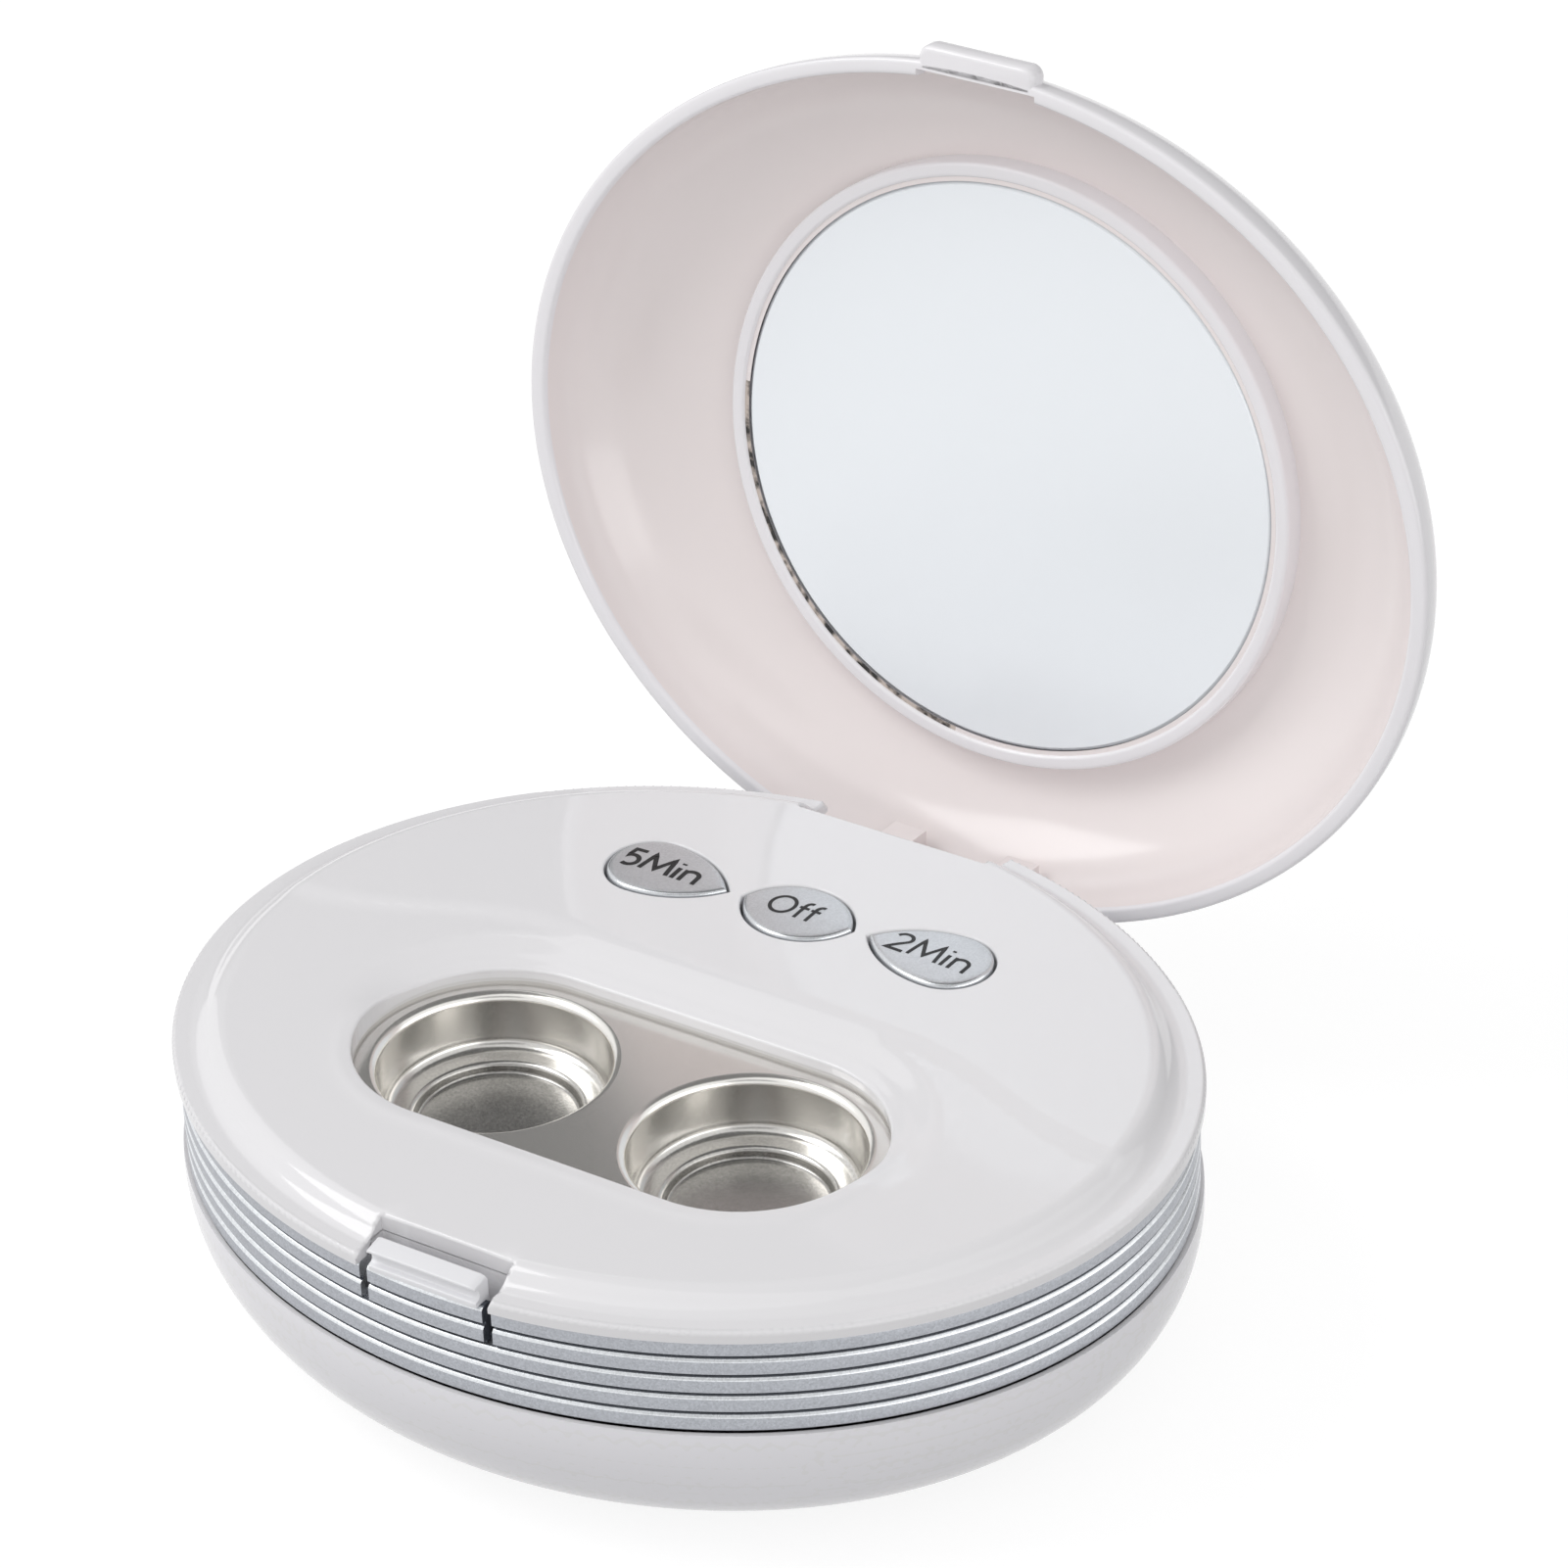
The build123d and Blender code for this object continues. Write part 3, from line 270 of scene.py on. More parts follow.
# The mirror's pale colour is a painted reflection.
mirror_glass = uneven_gloss(
    new_material("mirror_painted_reflection", Base_Color=linear("#F5F9FD"), Metallic=0.1), 0.25, 9.0, spread=0.1)
ink = uneven_gloss(new_material("black_ink", Base_Color=linear("#141416")), 0.45, 0.3)
print("glass and ink", mirror_glass.name, ink.name)

# %% [markdown]
# ## Making meshes
#
# Every piece is made from lists of points and faces in millimetres. Modelling by hand would give
# the same shapes, but points from formulas stay exact and follow the sizes read above. `piece`
# puts such a mesh into the scene, on the body that it moves with.

# %% Pieces
def piece(name, verts, faces, materials, body, replaced=(), slot=None, smooth_deg=35.0, normals=None):
    """A mesh in millimetres as an object on a body. Faces may name their material by index."""
    mesh = bpy.data.meshes.new(name)
    mesh.from_pydata([tuple(np.asarray(v, float) * MM) for v in verts], [], [f for f in faces])
    for material in materials:
        mesh.materials.append(material)
    mesh.polygons.foreach_set("use_smooth", [True] * len(mesh.polygons))
    mesh.set_sharp_from_angle(angle=math.radians(smooth_deg))
    if normals is not None:
        mesh.normals_split_custom_set(normals)
    made = bpy.data.objects.new(name, mesh)
    bpy.context.scene.collection.objects.link(made)
    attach(made, body)
    if replaced:
        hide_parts(*replaced)
    return made


# %% [markdown]
# Most of the case is turned: its wall, band and cups all have one section all round. `lathe`
# turns a profile round Z and squeezes it into the oval. A screw modifier could do that too, but
# not the squeeze, and it would leave the shading to be repaired afterwards.

# %% Lathe
def lathe(profile, segments=256, squeeze=1.0, closed=True, centre=(0.0, 0.0)):
    """Turns (radius, z) points round Z. A closed profile makes a ring, an open one a cup."""
    turn = np.linspace(0, 2 * math.pi, segments, endpoint=False)
    verts = []
    for radius, z in profile:
        if radius < 1e-9:
            verts.append((centre[0], centre[1], z))
        else:
            verts += [(centre[0] + radius * math.cos(t), centre[1] + radius * math.sin(t) * squeeze, z)
                      for t in turn]
    starts, count = [], 0
    for radius, z in profile:
        starts.append(count)
        count += 1 if radius < 1e-9 else segments
    faces = []
    pairs = list(zip(range(len(profile)), range(1, len(profile))))
    if closed:
        pairs.append((len(profile) - 1, 0))
    for a, b in pairs:
        for i in range(segments):
            j = (i + 1) % segments
            low = [starts[a]] if profile[a][0] < 1e-9 else [starts[a] + i, starts[a] + j]
            high = [starts[b]] if profile[b][0] < 1e-9 else [starts[b] + j, starts[b] + i]
            if len(low) + len(high) > 2:
                faces.append(tuple(low + high))
    return verts, faces


def arc(centre, radii, start_deg, end_deg, steps):
    """Points on an elliptical arc in a profile."""
    return [(centre[0] + radii[0] * math.cos(math.radians(a)), centre[1] + radii[1] * math.sin(math.radians(a)))
            for a in np.linspace(start_deg, end_deg, steps)]


def outward(mesh_object):
    """Makes a closed mesh's faces look outwards."""
    working = bmesh.new()
    working.from_mesh(mesh_object.data)
    bmesh.ops.recalc_face_normals(working, faces=working.faces)
    working.to_mesh(mesh_object.data)
    working.free()
    return mesh_object


ring_verts, ring_faces = lathe([(1.0, 0.0), (2.0, 0.0), (2.0, 1.0)], 8)
print("a ring of 8 segments has", len(ring_verts), "points and", len(ring_faces), "faces")

# %% [markdown]
# The deck and the tray are flat mouldings with holes in them. `plate` fills an outline that has
# holes, by Blender's own constrained triangulation, and gives every point its height from
# `top(x, y)`. Cutting holes out of a finished surface would dent its shading. Here shading comes
# from the slope of the formula, not from the triangles, so the gloss stays clean.

# %% The plate helper
def plate(outline, holes, extra, inside, top, under):
    """A closed solid between two height formulas. Returns verts, faces and a normal per corner."""
    points, edges = [], []
    for loop in [outline] + holes:
        base = len(points)
        points += [Vector(p) for p in loop]
        edges += [(base + i, base + (i + 1) % len(loop)) for i in range(len(loop))]
    points += [Vector(p) for p in extra]
    found, _, triangles, _, _, _ = delaunay_2d_cdt(points, edges, [], 0, 1e-6)
    flat = np.array([(p.x, p.y) for p in found])
    kept = []
    for tri in triangles:
        centre = flat[list(tri)].mean(0)
        if inside(*centre):
            area = np.cross(flat[tri[1]] - flat[tri[0]], flat[tri[2]] - flat[tri[0]])
            kept.append(tuple(tri) if area > 0 else tuple(reversed(tri)))
    count = len(flat)
    high = [top(x, y) for x, y in flat]
    low = [under(x, y) for x, y in flat]
    verts = [(x, y, z) for (x, y), z in zip(flat, high)] + [(x, y, z) for (x, y), z in zip(flat, low)]
    used = {}
    for tri in kept:
        for a, b in zip(tri, tri[1:] + tri[:1]):
            used[(a, b)] = True
    rim = [(a, b) for a, b in used if (b, a) not in used]
    faces = list(kept) + [tuple(i + count for i in reversed(tri)) for tri in kept]
    faces += [(b, a, a + count, b + count) for a, b in rim]
    step = 0.004                # millimetres either side, to measure a slope
    slopes = np.array([
        ((top(x - step, y) - top(x + step, y)) / (2 * step),
         (top(x, y - step) - top(x, y + step)) / (2 * step), 1.0) for x, y in flat])
    slopes /= np.linalg.norm(slopes, axis=1)[:, None]
    normals = [tuple(slopes[i]) for tri in kept for i in tri]
    normals += [(0.0, 0.0, -1.0)] * (3 * len(kept))
    for a, b in rim:
        run = flat[b] - flat[a]
        side = np.array([run[1], -run[0], 0.0]) / np.linalg.norm(run)
        normals += [tuple(side)] * 4
    return verts, faces, normals


square = [(0, 0), (1, 0), (1, 1), (0, 1)]
slab_faces = plate(square, [], [], lambda x, y: True, lambda x, y: 1, lambda x, y: 0)[1]
print("a square plate has", len(slab_faces), "faces")

# %% [markdown]
# ## The deck
#
# The deck is one moulding. Its top is almost flat, steps down softly in front of the buttons,
# rolls over a shoulder and ends in a thin flange. It dips a little towards the opening for the
# cups. Written as a height over the table, all of that is a sum of simple terms.

# %% Openings in the deck
cup_low, cup_high = span_mm("transducer_right")
CUP_X, CUP_Y = (cup_low.x + cup_high.x) / 2, (cup_low.y + cup_high.y) / 2
OPENING_RADIUS = 13.1                   # the ends of the opening for the cups
button_low, button_high = span_mm("button_off")
BUTTON_Y = (button_low.y + button_high.y) / 2
BUTTON_TOP_Z = button_high.z
CAP_HEIGHT = 4.35                       # half the cap's breadth
# each button's middle, its length, and the way it points (0 for one with two points)
BUTTONS = {
    "button_5min": (-14.75, 13.0, 1),
    "button_off": (-0.25, 12.0, 0),
    "button_2min": (14.25, 13.0, -1),
}
CAP_GAP = 0.25                          # slit round a cap
NOTCH_HALF, NOTCH_Y = 7.1, -38.2        # notch for the latch
POCKET_HALF, POCKET_Y = 10.4, 37.0      # pocket for the hinge
print("cups at", round(CUP_X, 2), round(CUP_Y, 2), "and buttons at", round(BUTTON_Y, 2))

# %% [markdown]
# A cap is a lens between two circular arcs. The outer two are drops: one end is round and the
# other comes to a point. `cap_loop` draws the outline, and `cap_distance` says how far a point is
# outside it. With both, the cap, its slit in the deck and the slit's soft edge all agree.

# %% Outline of a cap

def cap_loop(name, grow, steps=28):
    """A cap's outline, grown by a margin (or shrunk by a negative one)."""
    middle, length, point = BUTTONS[name]
    half, height = length / 2, CAP_HEIGHT
    if point == 0:
        radius = (half ** 2 + height ** 2) / (2 * height)
        grown = radius + grow
        tip = math.sqrt(max(grown ** 2 - (radius - height) ** 2, 0.0))
        xs = [tip * math.cos(t) for t in np.linspace(0, math.pi, 2 * steps + 1)]
        upper = [(x, math.sqrt(max(grown ** 2 - x ** 2, 0)) - (radius - height)) for x in xs]
        lower = [(-x, -y) for x, y in upper[1:-1]]
        loop = upper + lower
    else:
        reach = length - height
        radius = (reach ** 2 + height ** 2) / (2 * height)
        grown = radius + grow
        start = -(half - height)
        tip = math.sqrt(max(grown ** 2 - (radius - height) ** 2, 0.0))
        side = [tip * math.cos(t) for t in np.linspace(0, math.pi / 2, steps + 1)]
        upper = [(start + x, math.sqrt(max(grown ** 2 - x ** 2, 0)) - (radius - height)) for x in side]
        turn = np.linspace(math.pi / 2, 3 * math.pi / 2, 2 * steps + 1)[1:-1]
        back = [(start + (height + grow) * math.cos(t), (height + grow) * math.sin(t)) for t in turn]
        lower = [(x, -y) for x, y in reversed(upper)][:-1]
        loop = upper + back + lower
        if point < 0:
            loop = [(-x, y) for x, y in reversed(loop)]
    return [(middle + x, BUTTON_Y + y) for x, y in loop]


def cap_distance(name, x, y):
    """How far a point is outside a cap's outline."""
    middle, length, point = BUTTONS[name]
    half, height = length / 2, CAP_HEIGHT
    x, y = x - middle, abs(y - BUTTON_Y)
    if point == 0:
        radius = (half ** 2 + height ** 2) / (2 * height)
        return math.hypot(x, y + radius - height) - radius
    x = x * point + (half - height)
    if x < 0:
        return math.hypot(x, y) - height
    radius = ((length - height) ** 2 + height ** 2) / (2 * height)
    return math.hypot(x, y + radius - height) - radius


print("a cap's outline has", len(cap_loop("button_off", 0.0)), "points")

# %% [markdown]
# The other three openings are simpler: two half circles joined by straight lines for the cups,
# and two rectangles open to the edge, for the latch in front and for the hinge behind.

# %% Other openings
def stadium_distance(x, y):
    """How far a point is outside the opening for the cups."""
    return math.hypot(max(abs(x) - CUP_X, 0.0), y - CUP_Y) - OPENING_RADIUS


def notch_distance(x, y):
    """How far a point is outside the latch's notch."""
    return max(abs(x) - NOTCH_HALF, y - NOTCH_Y)


def pocket_distance(x, y):
    """How far a point is outside the hinge's pocket."""
    return max(abs(x) - POCKET_HALF, POCKET_Y - y)


def stadium_loop(grow, steps=40):
    """Outline of the opening for the cups, grown by a margin."""
    radius = OPENING_RADIUS + grow
    right = [(CUP_X + radius * math.cos(t), CUP_Y + radius * math.sin(t))
             for t in np.linspace(-math.pi / 2, math.pi / 2, steps + 1)]
    left = [(-x, 2 * CUP_Y - y) for x, y in right]
    straight = np.linspace(CUP_X, -CUP_X, 26)[1:-1]
    return (right + [(x, CUP_Y + radius) for x in straight]
            + left + [(-x, CUP_Y - radius) for x in straight])


print("the cups' opening is", round(2 * (CUP_X + OPENING_RADIUS), 1), "mm long")


# %% [markdown]
# A moulded edge is never sharp. `edge_drop` is how far a surface has fallen at a distance from
# an edge with a given rounding, so every opening gets its radius from one line. The step, the
# shoulder, the dip and the low bead round the cups are each one more term of the same sum.

# %% Height of the deck
STEP_DROP, STEP_WIDTH = 0.3, 3.0
SHOULDER_IN, SHOULDER_OUT = 44.4, 48.4
BAND_INSIDE = 47.2                        # the flange rests on the band outside this
BEAD_HEIGHT, BEAD_AT, BEAD_SPREAD = 0.1, 1.25, 0.75
DISH_DROP, DISH_WIDTH = 1.1, 5.0          # the deck dips towards the back edge of the cups' opening


def smooth(t):
    """Eases from 0 to 1 as t does, with no kink at either end."""
    t = min(max(t, 0.0), 1.0)
    return t * t * (3 - 2 * t)


def edge_drop(distance, radius):
    """How far a rounded edge has fallen at a distance in from it."""
    if distance >= radius:
        return 0.0
    inner = radius - max(distance, 0.0)
    return radius - math.sqrt(max(radius ** 2 - inner ** 2, 0.0))


def step_line(x):
    """Y of the soft step between the cups and the buttons. It curls forward at both ends."""
    return 7.4 - 6.5 * smooth((abs(x) - 20.0) / 24.0)


def deck_height(x, y):
    """Height of the deck's top over the table, in millimetres."""
    rho = math.hypot(x, y / OVAL)
    height = DECK_TOP_Z + 0.25 * (1 - (rho / SHOULDER_IN) ** 2)
    height -= STEP_DROP * smooth((step_line(x) - y) / STEP_WIDTH + 0.5)
    u = min(max((rho - SHOULDER_IN) / (SHOULDER_OUT - SHOULDER_IN), 0.0), 1.0)
    fall = 1 - 2 * u * u if u < 0.5 else 2 * (1 - u) ** 2
    height = FLANGE_TOP_Z + fall * (height - FLANGE_TOP_Z)
    cups = stadium_distance(x, y)
    height += BEAD_HEIGHT * math.exp(-((cups - BEAD_AT) / BEAD_SPREAD) ** 2)
    height -= DISH_DROP * smooth(1 - cups / DISH_WIDTH) * smooth((y - CUP_Y) / 10.0 + 0.4)
    height -= edge_drop(cups, 0.3)
    for name in BUTTONS:
        height -= edge_drop(cap_distance(name, x, y) - CAP_GAP, 0.25)
    height -= edge_drop(notch_distance(x, y), 0.25)
    height -= edge_drop(pocket_distance(x, y), 0.35)
    return height - edge_drop(HALF - rho, 0.5)


def deck_inside(x, y):
    """True where the deck is solid."""
    return (math.hypot(x, y / OVAL) < HALF and stadium_distance(x, y) > 0
            and all(cap_distance(name, x, y) > CAP_GAP for name in BUTTONS)
            and notch_distance(x, y) > 0 and pocket_distance(x, y) > 0)


def deck_under(x, y):
    """Height of the deck's underside, which is lower where the thin flange is."""
    return FLANGE_Z if math.hypot(x, y / OVAL) > BAND_INSIDE else DECK_UNDER_Z


print("deck's height", [round(deck_height(0, y), 2) for y in (30, 0, -30)], "from back to front")


# %% [markdown]
# The deck's outline follows the oval and turns in at the notch and at the pocket. Both corners
# of each stay sharp, because they are points of the outline itself.

# %% Outline of the deck
def oval_arc(rho, front_half, back_half, count=150):
    """Two arcs of the oval that stop at the latch notch in front and the hinge pocket behind."""
    front = math.asin(front_half / rho)
    back = math.asin(back_half / rho)
    right = np.linspace(-math.pi / 2 + front, math.pi / 2 - back, count)
    return ([(rho * math.cos(t), rho * OVAL * math.sin(t)) for t in right],
            [(-rho * math.cos(t), rho * OVAL * math.sin(t)) for t in right[::-1]])


def straight(start, end, gap=0.8):
    """Points between two ends, which are left out."""
    count = max(int(math.dist(start, end) / gap), 1)
    return [tuple(np.array(start) + (np.array(end) - np.array(start)) * i / count) for i in range(1, count)]


right_arc, left_arc = oval_arc(HALF, NOTCH_HALF, POCKET_HALF)
pocket_corners = [right_arc[-1], (POCKET_HALF, POCKET_Y), (-POCKET_HALF, POCKET_Y), left_arc[0]]
notch_corners = [left_arc[-1], (-NOTCH_HALF, NOTCH_Y), (NOTCH_HALF, NOTCH_Y), right_arc[0]]
deck_outline = []
for side_arc, corners in ((right_arc, pocket_corners), (left_arc, notch_corners)):
    deck_outline += side_arc[1:] if deck_outline else side_arc
    for a, b in zip(corners, corners[1:]):
        deck_outline += straight(a, b) + [b]
deck_outline.pop()
print("deck outline", len(deck_outline), "points")

# %% [markdown]
# A height formula shows only where there are points to carry it. So there are many rows of them
# close to every edge, where the surface curves, and an even field elsewhere, which stops short of
# those rows. Rows like these cost far fewer faces than a fine grid over the whole deck would.

# %% Points of the deck
deck_holes = [stadium_loop(0)] + [cap_loop(name, CAP_GAP) for name in BUTTONS]
rings = []
for inset in (0.01, 0.04, 0.1, 0.2, 0.35, 0.5, 0.9, 1.3, 1.6, 2.0,
              2.4, 2.8, 3.2, 3.6, 4.0, 4.5, 5.0, 5.6, 6.4):
    for some in oval_arc(HALF - inset, NOTCH_HALF + 0.45, POCKET_HALF + 0.45):
        rings += some
for grow in (0.04, 0.12, 0.25, 0.5, 0.8, 1.1, 1.4, 1.8, 2.3, 3.0):
    rings += stadium_loop(grow)
for grow in (0.03, 0.09, 0.16, 0.25, 0.6):
    for name in BUTTONS:
        rings += cap_loop(name, CAP_GAP + grow)
for inset in (0.03, 0.1, 0.2, 0.35):
    near, side = NOTCH_Y + inset, NOTCH_HALF + inset
    rings += straight((-side, near), (side, near), 0.6) + [(-side, near), (side, near)]
    near, wide = POCKET_Y - inset, POCKET_HALF + inset
    rings += straight((-wide, near), (wide, near), 0.6) + [(-wide, near), (wide, near)]
    for sign in (-1, 1):
        rings += straight((sign * side, NOTCH_Y), (sign * side, -HALF * OVAL + 0.7), 0.5)
        rings += straight((sign * wide, POCKET_Y), (sign * wide, HALF * OVAL - 1.7), 0.5)
field = []
for row, y in enumerate(np.arange(-40, 40, 0.85)):
    for x in np.arange(-46, 46, 1.0) + 0.5 * (row % 2):
        clear = [cap_distance(name, x, y) - 1.2 for name in BUTTONS]
        clear += [stadium_distance(x, y) - 3.4, 43.0 - math.hypot(x, y / OVAL)]
        clear += [notch_distance(x, y) - 0.8, pocket_distance(x, y) - 0.8]
        if min(clear) > 0:
            field.append((x, y))
print(len(rings), "points near the edges and", len(field), "in the field")

# %% [markdown]
# Now the deck can be made. The real one is white ABS, like the rest of the case, and every edge
# that a finger or an eye finds on it is already in the height formula.

# %% Deck moulding
verts, faces, normals = plate(deck_outline, deck_holes, rings + field, deck_inside,
                              deck_height, deck_under)
piece("deck_moulding", verts, faces, [white_abs], "body", ["deck"], "white_gloss", normals=normals)
print("deck", len(verts), "points")

# %% [markdown]
# ## Tray
#
# The real tray is pressed from one sheet of steel: a flat plate with two cups drawn into it, each
# of which holds one lens in its bath. `plate` makes the flat part with its two holes. It runs on a
# little under the deck, as the real one does where it is clamped.

# %% Pressed tray
CUP_MOUTH, CUP_WALL, CUP_DEPTH, SHEET = 11.8, 10.9, 6.8, 0.5
TRAY_MARGIN = 2.2                       # tray hidden under the deck
RISE = CUP_MOUTH - CUP_WALL


def cup_distance(x, y):
    """How far a point is outside the nearer cup's mouth."""
    return math.hypot(abs(x) - CUP_X, y - CUP_Y) - CUP_MOUTH


def in_tray(x, y):
    """True on the flat sheet: outside both mouths and within its margin."""
    return cup_distance(x, y) > 0 and stadium_distance(x, y) < TRAY_MARGIN


turn = np.linspace(0, 2 * math.pi, 160, endpoint=False)
mouths = [[(side * CUP_X + CUP_MOUTH * math.cos(t), CUP_Y + CUP_MOUTH * math.sin(t)) for t in turn]
          for side in (-1, 1)]
verts, faces, normals = plate(stadium_loop(TRAY_MARGIN), mouths, [], in_tray,
                              lambda x, y: TRAY_Z, lambda x, y: TRAY_Z - SHEET)
piece("tray_sheet", verts, faces, [nickel], "body", ["cup_tray"], "nickel", normals=normals)
print("tray", len(verts), "points")

# %% [markdown]
# A cup is turned from its section. From the top down that is a rounded mouth, a straight wall, a
# rounded ledge, a small step and a flat floor, where the lens lies over the vibrating disc. The
# step and the ledge matter: each is one more bright ring in the metal.

# %% Cups
inside_wall = arc((CUP_MOUTH, -RISE), (RISE, RISE), 90, 180, 10)
inside_wall += arc((9.5, -4.5), (1.15, 1.15), 0, -90, 10) + arc((8.4, -6.25), (0.6, 0.6), 90, 180, 7)
inside_wall += arc((7.45, -6.45), (0.35, 0.35), 0, -90, 5) + [(0.0, -CUP_DEPTH)]
outside_wall = [(0.0, -CUP_DEPTH - SHEET), (7.9, -CUP_DEPTH - SHEET), (8.4, -6.4)]
outside_wall += arc((9.5, -4.5), (1.65, 1.65), -90, 0, 10) + [(11.35, -1.0), (CUP_MOUTH, -SHEET)]
cup_profile = [(radius, TRAY_Z + z) for radius, z in inside_wall + outside_wall]
for side, name in ((-1, "cup_left"), (1, "cup_right")):
    cup = lathe(cup_profile, 160, centre=(side * CUP_X, CUP_Y))
    outward(piece(name, *cup, [nickel], "body", slot="nickel"))
print("each cup", len(cup[0]), "points")

# %% [markdown]
# Under the deck hang two walled pockets that stay in view, moulded in one with it. Straight walls
# need no lathe and no formula: `prism` pushes a flat outline through a depth, and `join` adds
# such shapes up into one piece. An extrusion by hand would do as well, but not follow the sizes.

# %% Prisms
def prism(outline, axis, start, end):
    """Pushes a closed 2-D outline along X ("x") or Z ("z")."""
    order = {"x": lambda p, d: (d, p[0], p[1]), "z": lambda p, d: (p[0], p[1], d)}
    count = len(outline)
    verts = [order[axis](p, start) for p in outline] + [order[axis](p, end) for p in outline]
    faces = [tuple(range(count)), tuple(range(2 * count - 1, count - 1, -1))]
    faces += [(i, (i + 1) % count, (i + 1) % count + count, i + count) for i in range(count)]
    return verts, faces


def join(*parts):
    """Adds several (verts, faces) together."""
    verts, faces = [], []
    for some_verts, some_faces in parts:
        base = len(verts)
        verts += list(some_verts)
        faces += [tuple(i + base for i in face) for face in some_faces]
    return verts, faces


print("a prism on a square has", len(prism(square, "z", 0, 1)[1]), "faces")

# %% [markdown]
# The first pocket is the well behind the latch, a wall on three sides. It is open in front, where
# the latch itself closes it, so its outline is a squared-off U.

# %% Latch well
WALL, WELL_FLOOR_Z = 1.6, 21.8
INTO_DECK = 0.1                         # walls run this far into the deck, so that no gap shows
well_wide, well_back = NOTCH_HALF + WALL, NOTCH_Y + WALL
well = [(well_wide, -39.6), (well_wide, well_back), (-well_wide, well_back), (-well_wide, -39.6),
        (-NOTCH_HALF, -39.9), (-NOTCH_HALF, NOTCH_Y), (NOTCH_HALF, NOTCH_Y), (NOTCH_HALF, -39.9)]
outward(piece("latch_well", *prism(well, "z", WELL_FLOOR_Z, DECK_UNDER_Z + INTO_DECK), [white_abs], "body"))
print("latch well is", round(DECK_UNDER_Z + INTO_DECK - WELL_FLOOR_Z, 2), "mm deep")

# %% [markdown]
# The second pocket is the hinge housing. It has a floor as well, and three ears that carry the steel
# pin. An ear is round about the pin's axis and runs down into the floor, so one outline seen
# from the side, pushed across, makes each of them.

# %% Hinge housing
housing_wall, pocket_floor = 1.4, 18.7
KNUCKLE_RADIUS = 2.2
wide, inner_y = POCKET_HALF + housing_wall, POCKET_Y - housing_wall
housing = [(wide, 39.0), (POCKET_HALF, 39.4), (POCKET_HALF, POCKET_Y), (-POCKET_HALF, POCKET_Y),
           (-POCKET_HALF, 39.4), (-wide, 39.0), (-wide, inner_y), (wide, inner_y)]
walls = prism(housing, "z", pocket_floor - housing_wall, DECK_UNDER_Z + INTO_DECK)
floor_outline = [(-POCKET_HALF, POCKET_Y), (POCKET_HALF, POCKET_Y), (POCKET_HALF, 39.4), (0, 40.2),
                 (-POCKET_HALF, 39.4)]
slab = prism(floor_outline, "z", pocket_floor - housing_wall, pocket_floor)


def knuckle_arc(start, end, steps):
    """Points round the hinge's axis, in the (y, z) plane, between two angles in radians."""
    return [(hinge_y + KNUCKLE_RADIUS * math.cos(t), hinge_z + KNUCKLE_RADIUS * math.sin(t))
            for t in np.linspace(start, end, steps)]


knuckle = knuckle_arc(-1.9, math.pi, 24)
knuckle += [(POCKET_Y - 0.1, hinge_z), (POCKET_Y - 0.1, pocket_floor - 0.1), (39.2, pocket_floor - 0.1)]
ear_spans = ((-POCKET_HALF, -8.6), (-1.6, 4.4), (8.6, POCKET_HALF))
ears = [prism(knuckle, "x", left, right) for left, right in ear_spans]
outward(piece("hinge_housing", *join(walls, slab, *ears), [white_abs], "body"))
print("hinge housing with", len(ears), "ears")

# %% [markdown]
# ## Band
#
# The band is a moulded ring with five ribs, painted silver. Each rib has an undercut foot and a bevelled top edge,
# so the section is drawn rib by rib instead of as a bump in the finish. The bright and dark lines along each rib
# come partly from that shape and partly from a painted highlight on the bevel and painted shade in the groove.

# %% Section of the band
RIBS = 5
rib_pitch = (FLANGE_Z - PARTING_Z) / RIBS
# one rib's section: how far in from the crest, and how far above its own foot or below the next
RIB_FOOT = [(0.55, 0), (0.55, 0.28), (0.5, 0.34), (0.1, 0.36), (0.02, 0.4), (0, 0.48)]
RIB_BEVEL = [(0, 0.34), (0.04, 0.27), (0.2, 0.11), (0.28, 0.05), (0.5, 0.02)]
GROOVE_SHADE_TOP, BEVEL_HIGHLIGHT_LOW = 0.36, 0.33      # which of those heights get painted shade in the groove and a painted highlight on the bevel


def rib_profile(inner, start_z=None):
    """Section of the ribbed ring, closed, from its lowest edge up."""
    start_z = PARTING_Z if start_z is None else start_z
    outline = []
    for rib in range(RIBS):
        low = PARTING_Z + rib * rib_pitch
        high = low + rib_pitch
        outline += [(CREST - inset, low + rise) for inset, rise in RIB_FOOT]
        outline += [(CREST - inset, high - fall) for inset, fall in RIB_BEVEL]
    outline = [p for p in outline if p[1] > start_z]
    outline += [(CREST - 0.52, FLANGE_Z), (inner, FLANGE_Z)]
    return [(inner, start_z), (outline[0][0], start_z)] + outline


def paint_rib_highlight_and_shade(mesh_object):
    """Gives the ribs' bevels a painted highlight and the grooves under them painted shade."""
    for polygon in mesh_object.data.polygons:
        x, y, z = polygon.center / MM
        radius = math.hypot(x, y / OVAL)
        place = (z - PARTING_Z) % rib_pitch
        if radius < CREST - 2.0:
            continue
        # painted shade in the groove, then a painted highlight on the bevel
        if place < GROOVE_SHADE_TOP or place > rib_pitch - 0.03:
            polygon.material_index = 2
        elif place > rib_pitch - BEVEL_HIGHLIGHT_LOW and radius < CREST - 0.005 and abs(polygon.normal.z) < 0.98:
            polygon.material_index = 1


print("band section has", len(rib_profile(CREST - 2.1)), "points")

# %% [markdown]
# The latch sits in a notch of the band and the hinge in a pocket. Building the ring in two
# halves round them would mean matching ends, so both are cut out with boxes by an exact boolean.
# The ribs' painted highlights and painted shade are given afterwards, since a cut makes new faces.

